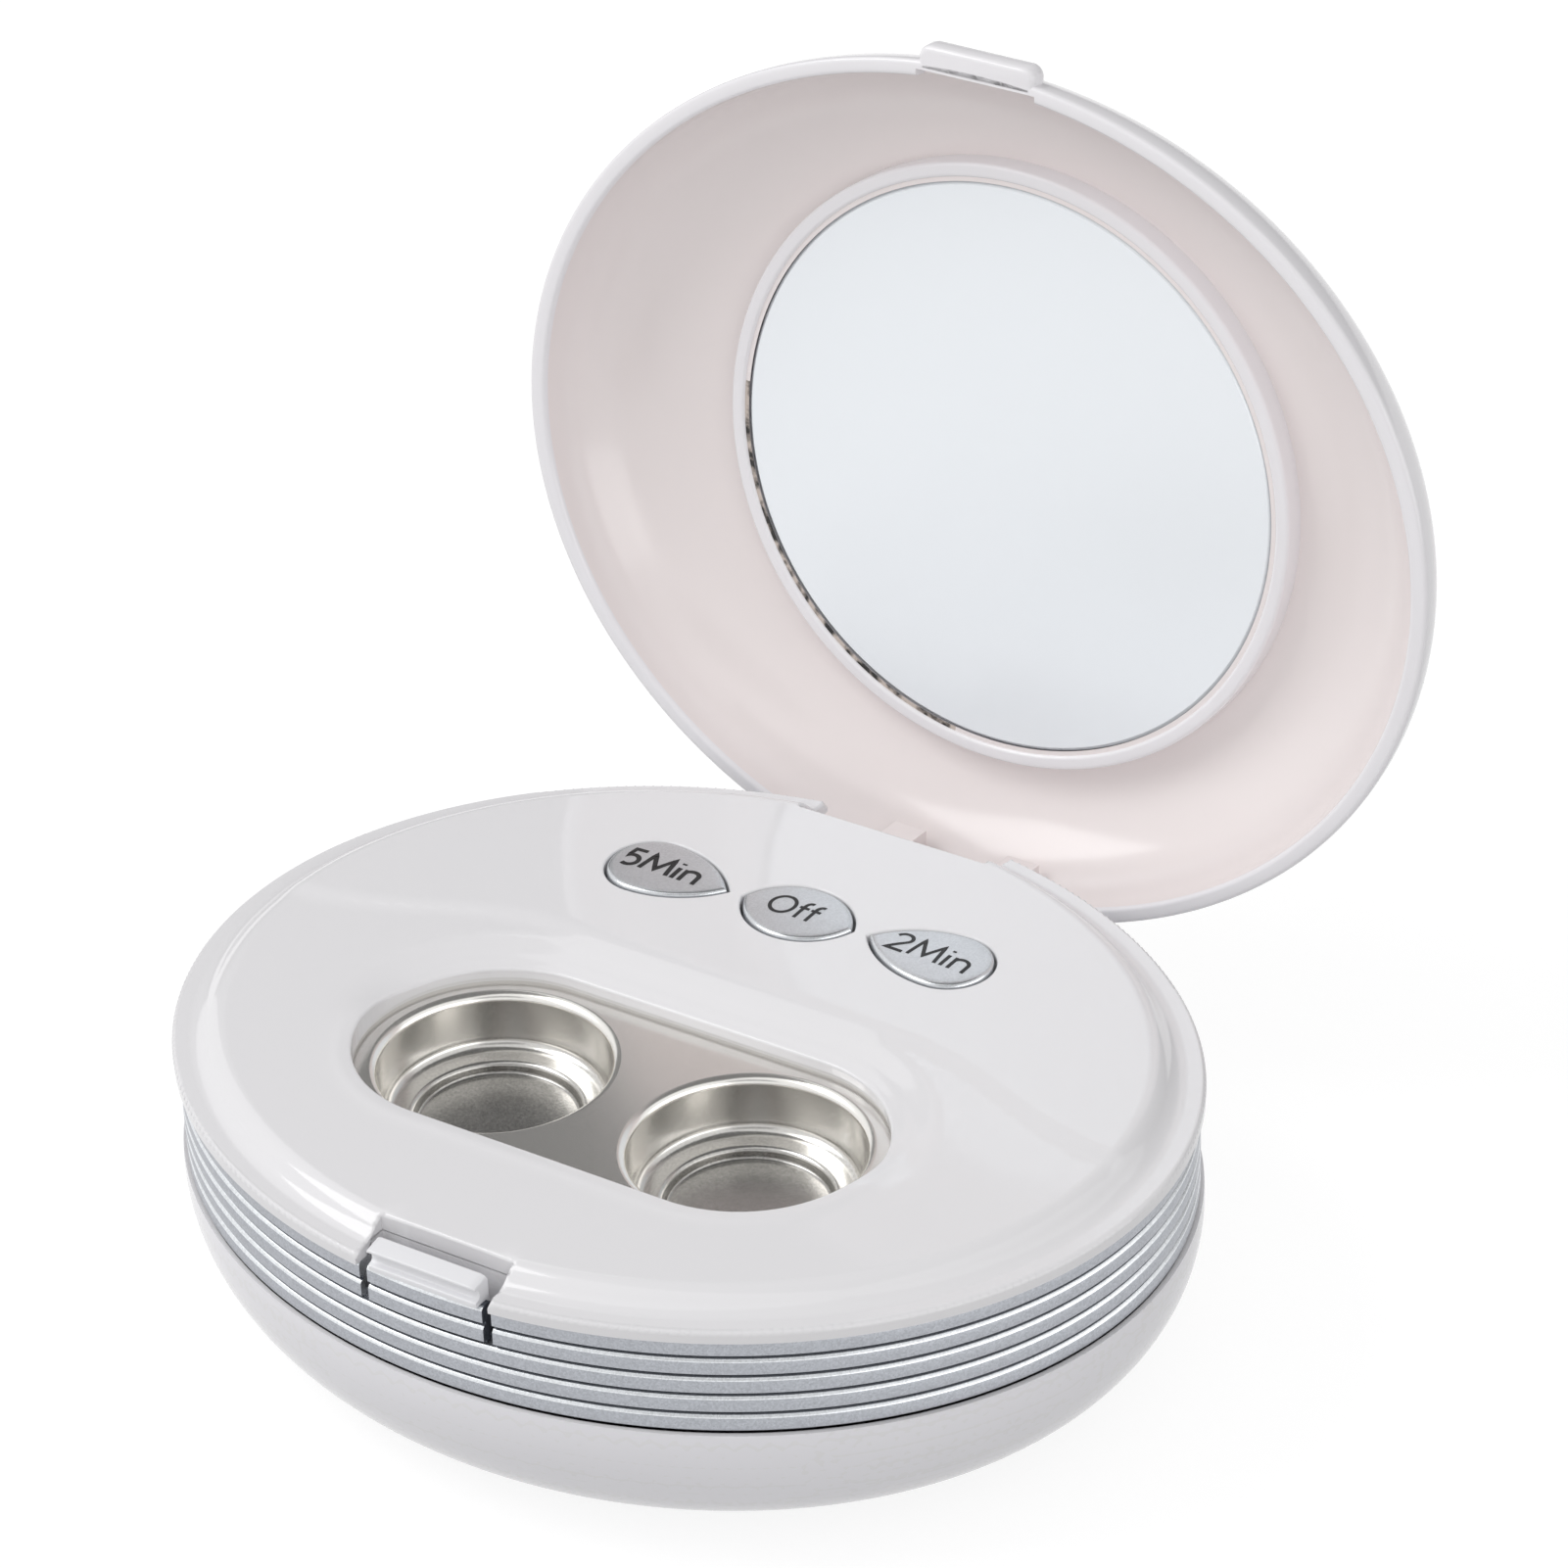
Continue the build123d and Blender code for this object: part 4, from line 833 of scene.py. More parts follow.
# %% Cutting boxes
def cut(mesh_object, low, high):
    """Cuts a box, given by two corners in millimetres, out of a mesh."""
    mesh = bpy.data.meshes.new("cutter")
    working = bmesh.new()
    bmesh.ops.create_cube(working, size=1.0)
    size = Vector(high) - Vector(low)
    middle = (Vector(high) + Vector(low)) / 2
    for vert in working.verts:
        vert.co = Vector([(c * s + m) * MM for c, s, m in zip(vert.co, size, middle)])
    working.to_mesh(mesh)
    working.free()
    cutter = bpy.data.objects.new("cutter", mesh)
    bpy.context.scene.collection.objects.link(cutter)
    boolean = mesh_object.modifiers.new("cut", "BOOLEAN")
    boolean.object = cutter
    boolean.operation = "DIFFERENCE"
    boolean.solver = "EXACT"
    bpy.context.view_layer.update()
    evaluated = mesh_object.evaluated_get(bpy.context.evaluated_depsgraph_get())
    result = bpy.data.meshes.new_from_object(evaluated)
    mesh_object.modifiers.remove(boolean)
    old = mesh_object.data
    mesh_object.data = result
    bpy.data.meshes.remove(old)
    bpy.data.objects.remove(cutter)
    bpy.data.meshes.remove(mesh)
    result.set_sharp_from_angle(angle=math.radians(35))
    return mesh_object


LATCH_ROOT = FLANGE_Z - 2 * rib_pitch   # the latch's notch is two ribs deep
print("the notch goes down to", round(LATCH_ROOT, 2))

# %% [markdown]
# The lathe makes the ring, the boxes cut it, and a pass over the faces picks each face's paint from its height on
# the rib, with a painted highlight on the bevels and painted shade in the grooves. The latch's face is given the
# same three paints later.

# %% Band
rib_silver_and_painted_light = [band_silver, band_painted_highlight, band_painted_shade]
band = outward(piece("silver_band_ribs", *lathe(rib_profile(CREST - 2.1), 320, OVAL), rib_silver_and_painted_light,
                     "body", ["silver_band"], "silver_paint"))
cut(band, (-NOTCH_HALF, -60, LATCH_ROOT - 0.05), (NOTCH_HALF, -30, 40))
cut(band, (-POCKET_HALF, 30, pocket_floor), (POCKET_HALF, 60, 40))
paint_rib_highlight_and_shade(band)
print("band", len(band.data.vertices), "points on", RIBS, "ribs")

# %% [markdown]
# ## Bowl
#
# The bowl is the palm-shaped underside. Its skin is a quarter of an ellipse that turns in a touch
# above its widest place, and a lip inside the band centres it. A lathe makes skin, lip and lining
# in one, as the mould does.

# %% Bowl
bowl_turn, bowl_rise, bowl_round, bowl_thick = (34.0, 15.5), 14.5, 15.9, 2.0
SPIGOT_TOP_Z = 19.0                     # a lip inside the band, which centres it
skin = arc(bowl_turn, (bowl_round, bowl_rise), -90, 5.1, 40)
lining = arc(bowl_turn, (bowl_round - bowl_thick, bowl_rise - bowl_thick), -8, -90, 30)
widest = skin[-1][0]
rim = [(widest - 0.25, PARTING_Z - 0.12), (widest - 0.5, PARTING_Z), (BAND_INSIDE, PARTING_Z),
       (BAND_INSIDE, SPIGOT_TOP_Z), (45.4, SPIGOT_TOP_Z), (45.4, PARTING_Z - 1)]
bowl = outward(piece("bowl_wall", *lathe(skin + rim + lining, 256, OVAL), [bowl_abs], "body"))
print("bowl", len(bowl.data.vertices), "points")

# %% [markdown]
# ## Buttons
#
# Each cap is a shallow dome with a bevelled edge, sprayed silver. A bevel modifier would pinch at
# the pointed tip. Here every ring of points is the cap's own outline, shrunk a little more each
# time, so the bevel keeps its width round the tip.

# %% Rings into a skin
def ring_stack(rings, peak=None):
    """Closed skin through rings of equally many points. It ends flat, or rises to a peak."""
    count = len(rings[0])
    verts = [point for ring in rings for point in ring]
    faces = []
    for level in range(len(rings) - 1):
        a, b = level * count, (level + 1) * count
        faces += [(a + i, a + (i + 1) % count, b + (i + 1) % count, b + i) for i in range(count)]
    faces.append(tuple(range(count))[::-1])
    if peak is None:
        faces.append(tuple(range((len(rings) - 1) * count, len(rings) * count)))
    else:
        verts.append(peak)
        last = (len(rings) - 1) * count
        faces += [(last + i, last + (i + 1) % count, len(verts) - 1) for i in range(count)]
    return verts, faces


def level_ring(outline, z):
    """An outline laid flat at a height."""
    return [(x, y, z) for x, y in outline]


print("two square rings make", len(ring_stack([level_ring(square, 0), level_ring(square, 1)])[1]), "faces")

# %% [markdown]
# From below, a cap is a skirt under the deck, a straight wall in the slit, a rounded bevel and
# then the dome. Each ring below is a pair: how far its outline is grown, and at what height.

# %% Sizes of a cap
CAP_CROWN = 0.12                        # how far the dome stands above its bevel
EDGE_Z = BUTTON_TOP_Z - CAP_CROWN
SKIRT_GROW = 0.65                       # a skirt under the deck, so that the cap cannot fall out
STEM_RADIUS, STEM_TOP_Z = 1.4, DECK_UNDER_Z - 0.9
SKIRT = ((SKIRT_GROW, DECK_UNDER_Z - 0.95), (SKIRT_GROW, DECK_UNDER_Z - 0.2),
         (0.0, DECK_UNDER_Z - 0.19), (0.0, EDGE_Z - 0.5))
BEVEL = ((-0.03, 0.34), (-0.1, 0.2), (-0.2, 0.1), (-0.33, 0.035), (-0.5, 0.0), (-0.7, -0.012))
stem_profile = [(0, button_low.z), (STEM_RADIUS, button_low.z), (STEM_RADIUS, STEM_TOP_Z), (0, STEM_TOP_Z)]
print("caps stand", round(BUTTON_TOP_Z - deck_height(0, BUTTON_Y + 8), 2), "mm over the deck")

# %% [markdown]
# Spray flows out smooth on the bevel and dries grainier on the dome, so the two get paints of
# different gloss. Under the deck a skirt keeps each cap in, and a stem reaches to its switch.

# %% Button caps
for name in BUTTONS:
    levels = list(SKIRT) + [(grow, EDGE_Z - drop) for grow, drop in BEVEL]
    for grow in (-1.3, -1.7, -2.1, -2.5, -2.9, -3.3, -3.7, -4.05, -4.3):
        rise = CAP_CROWN * (1 - ((CAP_HEIGHT + grow) / (CAP_HEIGHT - 0.5)) ** 2)
        levels.append((grow, EDGE_Z + rise))
    rings_up = [level_ring(cap_loop(name, grow), z) for grow, z in levels]
    centre_x = np.mean([point[0] for point in rings_up[-1]])
    cap = piece(name + "_cap", *ring_stack(rings_up, (centre_x, BUTTON_Y, BUTTON_TOP_Z)),
                [cap_silver, cap_edge], name, [name], "button_silver", smooth_deg=28)
    for polygon in cap.data.polygons:
        fall = EDGE_Z - polygon.center.z / MM
        polygon.material_index = 1 if 0.02 < fall < 2.0 and polygon.normal.z > -0.5 else 0
    outward(cap)
    stem = lathe(stem_profile, 32, centre=(BUTTONS[name][0], BUTTON_Y))
    outward(piece(name + "_stem", *stem, [cap_silver], name))
    print(name, len(cap.data.vertices), "points on the cap")

# %% [markdown]
# ## Lid
#
# The lid is easiest to think about shut: a squeezed dome, turned on a lathe, standing on the
# deck's flange. It is made there and then swung back about the hinge to where the model rests.
# Drawing it open would mean tilting every point by hand.

# %% Swing of the lid
def opened(mesh_object):
    """Swings a mesh made on the shut lid back to where the lid rests open."""
    pivot = Vector((0, hinge_y, hinge_z)) * MM
    swing = Matrix.Translation(pivot) @ Matrix.Rotation(-OPEN_ANGLE, 4, "X") @ Matrix.Translation(-pivot)
    mesh_object.data.transform(swing)
    return mesh_object


print("the lid opens by", round(math.degrees(OPEN_ANGLE), 1), "degrees")

# %% [markdown]
# The lid's section is two ellipses, the outside and the hollow, joined by a rim with two small
# rounded edges. The edges are worth their eight points, because the rim is the line of light that
# the eye follows round the open lid.

# %% Section of the lid
LID_OVAL = 0.875
LID_RIM_Z = FLANGE_TOP_Z + 0.15
LID_RISE = 12.4                         # rim to the top of the dome
MIRROR_Z = LID_RIM_Z + 8.4
LID_FLOOR_Z = MIRROR_Z + 1.8 + 0.4      # the mirror is 1.8 mm thick, on 0.4 mm of foam
LINING_TURN, LINING_ROUND = 35.5, 12.7  # where the hollow's curve starts, and how wide it is
lid_depth = LID_FLOOR_Z - LID_RIM_Z
outer = arc((32.0, LID_RIM_Z), (18.0, LID_RISE), 90, 3, 48)
inner = arc((LINING_TURN, LID_RIM_Z), (LINING_ROUND, lid_depth), 3, 90, 40)
lid_rim = [(radius, LID_RIM_Z + rise) for radius, rise in (
    (49.98, 0.34), (49.9, 0.16), (49.74, 0.04), (49.5, 0),
    (48.7, 0), (48.46, 0.04), (48.3, 0.16), (48.22, 0.34))]
profile = [(0, LID_RIM_Z + LID_RISE)] + outer + lid_rim + inner + [(0, LID_FLOOR_Z)]
print("lid section", len(profile), "points, rim at", round(LID_RIM_Z, 2))

# %% [markdown]
# The lid is one moulding, but its hollow shows a warmer, pinker white than its outside. That tint is a painted
# glow of light coming through the thin translucent shell, so the faces inside the hollow get the painted glow. Two
# cuts leave room behind the rim for the latch's bar.

# %% Lid shell
lid = outward(piece("lid_dome", *lathe(profile, 320, LID_OVAL, closed=False), [lid_plastic, lid_painted_glow],
                    "lid", ["lid_shell"], "pale_shell"))
RIM_FRONT = -HALF * LID_OVAL
CATCH_HALF, CATCH_TOP_Z = 6.4, 30.2     # room inside the rim for the latch's bar
cut(lid, (-CATCH_HALF, RIM_FRONT + 1.15, LID_RIM_Z - 5), (CATCH_HALF, RIM_FRONT + 4, CATCH_TOP_Z))
cut(lid, (-CATCH_HALF, RIM_FRONT + 0.95, LID_RIM_Z + 0.3), (CATCH_HALF, RIM_FRONT + 4, CATCH_TOP_Z))
for polygon in lid.data.polygons:
    x, y, z = polygon.center / MM
    radius = math.hypot(x, y / LID_OVAL)
    across_hollow, up_hollow = (radius - LINING_TURN) / 13.0, (z - LID_RIM_Z) / (lid_depth + 0.3)
    in_hollow = across_hollow ** 2 + up_hollow ** 2 < 1 or radius < 36
    # the hollow's faces get the painted glow
    in_painted_glow = z > LID_RIM_Z + 0.5 and z < LID_FLOOR_Z + 0.1 and in_hollow
    polygon.material_index = 1 if in_painted_glow else 0
opened(lid)
print("lid", len(lid.data.vertices), "points")

# %% [markdown]
# The mirror sits in a raised bead. A thin ring just over the glass shows its cut edge. Along the left of the open
# lid that ring is flecked dark and pale, which is painted shade and a painted reflection of the mirror's edge. The
# flecks are a noise of about 1.4 mm, pushed to hard light and dark by a narrow range.

# %% Mirror's edge
# The flecked strip is painted shade and a painted reflection of the mirror's edge.
mirror_edge_shade_and_reflection = new_material("mirror_edge_shade_and_reflection", Roughness=0.5)
edge_fleck_place = node(mirror_edge_shade_and_reflection, "ShaderNodeTexCoord")
edge_fleck_noise = node(mirror_edge_shade_and_reflection, "ShaderNodeTexNoise", Vector=(edge_fleck_place, "Object"),
                  Scale=1 / (1.4 * MM), Detail=3.0)
edge_fleck_level = node(mirror_edge_shade_and_reflection, "ShaderNodeMapRange", Value=(edge_fleck_noise, "Fac"),
                  From_Min=0.42, From_Max=0.58, To_Min=0.03, To_Max=1.0)
edge_fleck_colour = node(mirror_edge_shade_and_reflection, "ShaderNodeHueSaturation",
                   Color=linear("#C9BDB4"), Value=(edge_fleck_level, "Result"))
into_shader(mirror_edge_shade_and_reflection, "Base Color", edge_fleck_colour, "Color")
BEAD_INSIDE = 29.8
FLECKS_FROM_DEG, FLECKS_TO_DEG = 98, 184
edge_rim = [(29.35, MIRROR_Z - 0.02), (BEAD_INSIDE + 0.02, MIRROR_Z - 0.02)]
mirror_edge = piece("mirror_edge", *lathe(edge_rim, 256, closed=False), [lid_painted_glow, mirror_edge_shade_and_reflection],
                    "lid", slot="pale_shell")
for polygon in mirror_edge.data.polygons:
    x, y, _ = polygon.center / MM
    turn_deg = math.degrees(math.atan2(y, x)) % 360
    # the flecked span gets the painted shade and reflection
    polygon.material_index = 1 if FLECKS_FROM_DEG < turn_deg < FLECKS_TO_DEG else 0
opened(mirror_edge)
print("mirror edge flecked over", FLECKS_TO_DEG - FLECKS_FROM_DEG, "degrees")

# %% [markdown]
# Three small things finish the lid: the round bead that holds the mirror, the lip at the front
# that a thumb lifts, and two lugs that turn on the hinge's pin. The bead is turned. The lip is a
# skin over rings with round corners, since a thumb must find no sharp edge. The lugs are prisms.

# %% Bead ring
ring_low, ring_top, bead_round = MIRROR_Z - 0.3, LID_FLOOR_Z + 0.05, 0.4
ring_turn = ring_low + bead_round
bead_section = [(BEAD_INSIDE, ring_top), (BEAD_INSIDE, ring_turn)]
bead_section += arc((BEAD_INSIDE + bead_round, ring_turn), (bead_round, bead_round), 180, 270, 6)
bead_section += arc((30.9, ring_turn), (bead_round, bead_round), 270, 360, 6) + [(31.3, ring_top)]
bead_ring = lathe(bead_section, 256)
print("bead", len(bead_section), "points in its section")

# %% [markdown]
# The lip stands out in front of the shut lid, above the latch. Its underside and its top are
# rounded by rings that draw in, as on the buttons, and its front corners by two arcs.

# %% Thumb lip
lip_front, lip_half, lip_corner = RIM_FRONT - 1.3, 6.2, 1.2
lip_root = RIM_FRONT + 0.9


def lip_loop(inset):
    """Outline of the lip seen along Z, with round front corners, drawn in by an inset."""
    half, front = lip_half - inset, lip_front + inset
    corner = max(lip_corner - inset, 0.3)
    left = arc((-half + corner, front + corner), (corner, corner), 180, 270, 9)
    right = arc((half - corner, front + corner), (corner, corner), 270, 360, 9)
    return [(-half, lip_root)] + left + right + [(half, lip_root)]


lip_top = LID_RIM_Z + 2.6
lip_rings = [level_ring(lip_loop(inset), LID_RIM_Z + rise)
             for inset, rise in ((0.5, 0), (0.28, 0.05), (0.1, 0.2), (0, 0.45))]
lip_rings += [level_ring(lip_loop(inset), lip_top - drop)
              for inset, drop in ((0, 0.9), (0.1, 0.45), (0.4, 0.12), (0.9, 0))]
thumb_lip = ring_stack(lip_rings)
print("thumb lip", len(lip_rings), "rings")

# %% [markdown]
# A lug reaches from the lid's floor down to the pin, where it is round. Like the ears it is one
# outline seen from the side, pushed across, and it turns in the gaps between them.

# %% Hinge lugs, and all three on the lid
LUG_TOP_Z, LUG_NEAR, LUG_FAR = 32.4, 4.7, 8.3
lug_back, lug_front = hinge_y + 2.1, hinge_y - 1.1
lug = [(lug_back, hinge_z), (lug_back, LUG_TOP_Z), (lug_front, LUG_TOP_Z), (lug_front, hinge_z + 1.9)]
lug += knuckle_arc(2.1, 2 * math.pi - 0.3, 28)
lugs = join(prism(lug, "x", -LUG_FAR, -LUG_NEAR), prism(lug, "x", LUG_NEAR, LUG_FAR))
for name, shape, finish in (("lid_bead_ring", bead_ring, lid_plastic),
                            ("lid_thumb_lip", thumb_lip, lid_plastic), ("lid_lugs", lugs, lid_painted_glow)):
    opened(outward(piece(name, *shape, [finish], "lid", slot="pale_shell")))
    print(name, len(shape[0]), "points")

# %% [markdown]
# ## Latch
#
# The latch is a springy tab in the band's notch. Its face carries the same ribs as the band, so
# that shut they run on unbroken. The section is the band's own, bent round the oval column by
# column, and `ring_stack` closes it at both ends.

# %% Latch face
TAB_HALF, TAB_LOW, TAB_THICK = 6.2, LATCH_ROOT + 0.05, 1.5
tab_profile = rib_profile(CREST - TAB_THICK, TAB_LOW)
tab_rings = [[(x, -OVAL * math.sqrt(r * r - x * x), z) for r, z in tab_profile]
             for x in np.linspace(-TAB_HALF, TAB_HALF, 25)]
tab = outward(piece("latch_ribs", *ring_stack(tab_rings), rib_silver_and_painted_light, "latch", ["latch_face"],
                    "silver_paint"))
# The tab's bevels get the same painted highlight, and its grooves the same painted shade, as the band's.
paint_rib_highlight_and_shade(tab)
print("latch face", len(tab.data.vertices), "points")

# %% [markdown]
# A white bar across the top of the tab hooks over a ledge in the lid. It is a moulding with soft
# corners, so its section is rounded corner by corner. Towards each end the section shrinks a
# little, which rounds the ends too.

# %% Rounded corners
def rounded(outline, radii, steps=5):
    """Rounds the corners of a closed 2-D outline, with one radius for each corner."""
    points = []
    for i, corner in enumerate(outline):
        corner = Vector(corner)
        before = Vector(outline[i - 1]) - corner
        after = Vector(outline[(i + 1) % len(outline)]) - corner
        if radii[i] <= 0:
            points.append(tuple(corner))
            continue
        half_turn = before.angle(after) / 2
        reach = min(radii[i] / math.tan(half_turn), before.length * 0.49, after.length * 0.49)
        first = corner + before.normalized() * reach
        last = corner + after.normalized() * reach
        for t in np.linspace(0, 1, steps + 1):
            # a quadratic curve is a near enough arc on corners this small
            point = first * (1 - t) ** 2 + corner * 2 * t * (1 - t) + last * t * t
            points.append(tuple(point))
    return points


print("a rounded square has", len(rounded(square, [0.1] * 4)), "points")

# %% [markdown]
# The section stands on the tab, runs up behind the lid's rim and ends in a hook that leans
# forward. The corners are listed with their own rounding, large in the hollow under the hook and
# small at its tip.

# %% Latch catch
TAB_FRONT, TAB_BACK = -CREST * OVAL, -(CREST - TAB_THICK) * OVAL
# corners of the bar's section as (y, z, rounding), from its root up the back and down the front
CATCH_CORNERS = (
    (TAB_BACK, TAB_LOW, 0), (TAB_BACK + 0.85, TAB_LOW, 0), (TAB_BACK + 0.85, 29.2, 0.4),
    (TAB_FRONT + 1.77, 29.6, 0.2), (TAB_FRONT - 0.08, 29.25, 0.16), (TAB_FRONT - 0.08, 28.95, 0.14),
    (TAB_FRONT + 0.62, 28.8, 0.3), (TAB_FRONT + 0.72, FLANGE_Z + 0.75, 0.6),
    (TAB_FRONT, FLANGE_Z + 0.5, 0.2), (TAB_FRONT, FLANGE_Z + 0.02, 0), (TAB_BACK, FLANGE_Z + 0.02, 0))
catch = rounded([(y, z) for y, z, _ in CATCH_CORNERS], [corner for _, _, corner in CATCH_CORNERS], 6)
ROUND_END = ((0.34, 5.8), (0.2, 5.74), (0.09, 5.6), (0.02, 5.4), (0.0, 5.15))
middle_y, middle_z = TAB_BACK + 0.1, 27.0
catch_rings = []
for inset, x in [(inset, -x) for inset, x in ROUND_END] + list(ROUND_END[::-1]):
    shrink = 1 - inset / 4
    catch_rings.append([(x, middle_y + (y - middle_y) * shrink, middle_z + (z - middle_z) * shrink)
                        for y, z in catch])
outward(piece("latch_bar", *ring_stack(catch_rings), [catch_abs], "latch", ["latch_catch"], "white_gloss"))
print("latch bar", len(catch_rings), "rings of", len(catch), "points")

# %% [markdown]
# ## Lettering
#
# The times and the word for off are pad-printed on the caps in black, in strokes of one even
# width. Each letter is therefore a few pen paths. `stroke` gives a path its width, and every
# point is laid just over the cap's crown, so that the ink follows the surface.

# %% Letters
def cap_height(name, x, y):
    """Height of a cap's crown over the table, in millimetres."""
    inside = min(cap_distance(name, x, y), -0.5)      # the bevel is left out
    return BUTTON_TOP_Z - CAP_CROWN * ((CAP_HEIGHT + inside) / (CAP_HEIGHT - 0.5)) ** 2


CAPITAL, INK_THICK = 0.7, 0.012         # a capital's height on the grid below, and the ink's in mm
# each letter's width, and its pen paths
LETTERS = {
    "5": (0.50, [[(0.41, 0.70), (0.14, 0.70), (0.10, 0.38)] + arc((0.22, 0.22), (0.19, 0.22), 128, -125, 16)]),
    "2": (0.52, [arc((0.24, 0.51), (0.18, 0.19), 165, -35, 12) + [(0.05, 0.0), (0.45, 0.0)]]),
    "M": (0.74, [[(0.05, 0.0), (0.13, 0.70), (0.37, 0.12), (0.61, 0.70), (0.69, 0.0)]]),
    "i": (0.19, [[(0.095, 0.0), (0.095, 0.48)], [(0.095, 0.63), (0.095, 0.70)]]),
    "n": (0.49, [[(0.08, 0.0), (0.08, 0.49)],
                 arc((0.245, 0.32), (0.165, 0.165), 180, 0, 12) + [(0.41, 0.0)]]),
    "O": (0.78, [arc((0.38, 0.35), (0.32, 0.35), 90, 450, 32)]),
    "f": (0.33, [arc((0.26, 0.53), (0.12, 0.17), 70, 180, 8) + [(0.14, 0.0)], [(0.03, 0.46), (0.30, 0.46)]]),
}
print("letters", "".join(LETTERS))


# %% [markdown]
# A path has no width. At every step of it the pen leaves a point to the left and one to the right,
# and where the path turns, the two move out a little so that the line stays even. Short steps let
# the ink bend with the cap.

# %% Pen strokes
def stroke(path, width, step=0.35):
    """A pen line of even width along a path, as left and right points for every step of it."""
    fine = [path[0]]
    for a, b in zip(path, path[1:]):
        count = max(1, math.ceil((b - a).length / step))
        fine += [a.lerp(b, i / count) for i in range(1, count + 1)]
    left, right = [], []
    for i, spot in enumerate(fine):
        into = (spot - fine[i - 1]).normalized() if i else (fine[1] - spot).normalized()
        out = (fine[i + 1] - spot).normalized() if i + 1 < len(fine) else into
        along = (into + out).normalized()
        aside = Vector((-along.y, along.x)) * (width / 2 / max(along.dot(into), 0.5))
        left.append(spot + aside)
        right.append(spot - aside)
    return left, right


print("a short stroke has", len(stroke([Vector((0, 0)), Vector((1, 0))], 0.4)[0]), "steps")


# %% [markdown]
# Each word is fitted to its width and height, turned a little where the print sits at a slant, and
# set in its place on the cap. It rides on the button, so it goes down when the button is pressed.

# %% Printed words
def printed(name, words, width, height, slant_deg, pen, shift=(0.0, 0.0)):
    """Prints words on a cap, fitted to a width and a height, with a pen of a width, all in mm."""
    whole = sum(LETTERS[letter][0] for letter in words)
    turn = Matrix.Rotation(math.radians(slant_deg), 2)
    centre = Vector((BUTTONS[name][0] + shift[0], BUTTON_Y + shift[1]))
    spots, faces, start = [], [], 0.0
    for letter in words:
        advance, paths = LETTERS[letter]
        for path in paths:
            line = [centre + turn @ Vector((((start + x) / whole - 0.5) * width, (y / CAPITAL - 0.5) * height))
                    for x, y in path]
            left, right = stroke(line, pen)
            base = len(spots)
            for a, b in zip(left, right):
                spots += [(p.x, p.y, cap_height(name, p.x, p.y) + INK_THICK) for p in (a, b)]
            faces += [(base + 2 * i, base + 2 * i + 1, base + 2 * i + 3, base + 2 * i + 2)
                      for i in range(len(left) - 1)]
        start += advance
    return piece("print_" + name, spots, faces, [ink], name, smooth_deg=180)


printed("button_5min", "5Min", 9.0, 2.75, 0.0, 0.50, (-0.95, 0.2))
printed("button_off", "Off", 5.6, 2.8, -2.0, 0.39, (-0.45, 0.2))
printed("button_2min", "2Min", 9.2, 2.75, -3.5, 0.40, (0.3, 0.1))
print("printed on", ", ".join(BUTTONS))

# %% [markdown]
# ## The other solids
#
# The rest of the model's solids are already the right shape, so they only get a finish. Most of
# them are hidden: the disc that shakes the cups, the board, the cells and their wires. The pin,
# the screws and the contacts are drawn or rolled, which leaves fine marks that show only in the
# gloss, so bare metal is the recipe for uneven gloss over a metal's colour.

# %% Bare metals
def drawn_metal(name, colour, roughness):
    """Bare metal with the fine marks of drawing or rolling."""
    return uneven_gloss(new_material(name, Base_Color=linear(colour), Metallic=1.0), roughness, 0.4)


steel = drawn_metal("zinc_plated_steel", "#B9BCBF", 0.32)
brass = drawn_metal("rolled_brass", "#C9A45C", 0.35)
copper = drawn_metal("enamelled_copper", "#B5643A", 0.38)
print("metals", steel.name, brass.name, copper.name)

# %% [markdown]
# The feet and the seals are rubber, the board is glass fibre in green resin, and the cells are
# wrapped in film. All of them are moulded or cast, so they share the recipe of the case with
# other colours and a duller gloss.

# %% Plastics and rubbers inside
black_rubber = moulded_plastic("nitrile_rubber", "#3A3B3D", 0.62)
silicone = moulded_plastic("silicone_gasket", "#D9D8D8", 0.5)
board_green = moulded_plastic("fibreglass_board", "#2F6B47", 0.45)
black_plastic = moulded_plastic("black_epoxy", "#26272A", 0.5)
cell_wrap = moulded_plastic("cell_wrap", "#3D4C63", 0.3)
red_wire = moulded_plastic("pvc_wire", "#A83A32", 0.45)
foam = moulded_plastic("pe_foam", "#E3E3E0", 0.9)
print("inside", [m.name for m in (black_rubber, silicone, board_green, black_plastic, foam)])

# %% [markdown]
# Every solid names a slot for its material, so one table from slot to finish dresses them all.
# Picking a finish solid by solid would be forty lines, and easy to get wrong.

# %% Finishes on the model's own solids
by_slot = {
    "white_gloss": white_abs, "silver_paint": band_silver, "nickel": nickel, "button_silver": cap_silver,
    "mirror_glass": mirror_glass, "pale_shell": lid_plastic, "grey_rubber": black_rubber, "foam": foam,
    "gasket_rubber": silicone, "steel": steel, "board_green": board_green, "black_plastic": black_plastic,
    "brass": brass, "copper_coil": copper, "cell_wrap": cell_wrap, "red_wire": red_wire,
}
for part in frame["record"]["subparts"]:
    solid = frame["nodes"][part["node"]]
    solid.data.materials.clear()
    solid.data.materials.append(by_slot[part["material_slot"]])
print(len(frame["nodes"]), "solids dressed")

# %% [markdown]
# ## Camera
#
# A long lens from the front right and above keeps the ovals from bulging. The camera is turned
# off the object's middle and rolled by two degrees, as a camera on a hand-set tripod often is, so
# its three axes are worked out one after the other instead of pointing it at the object.

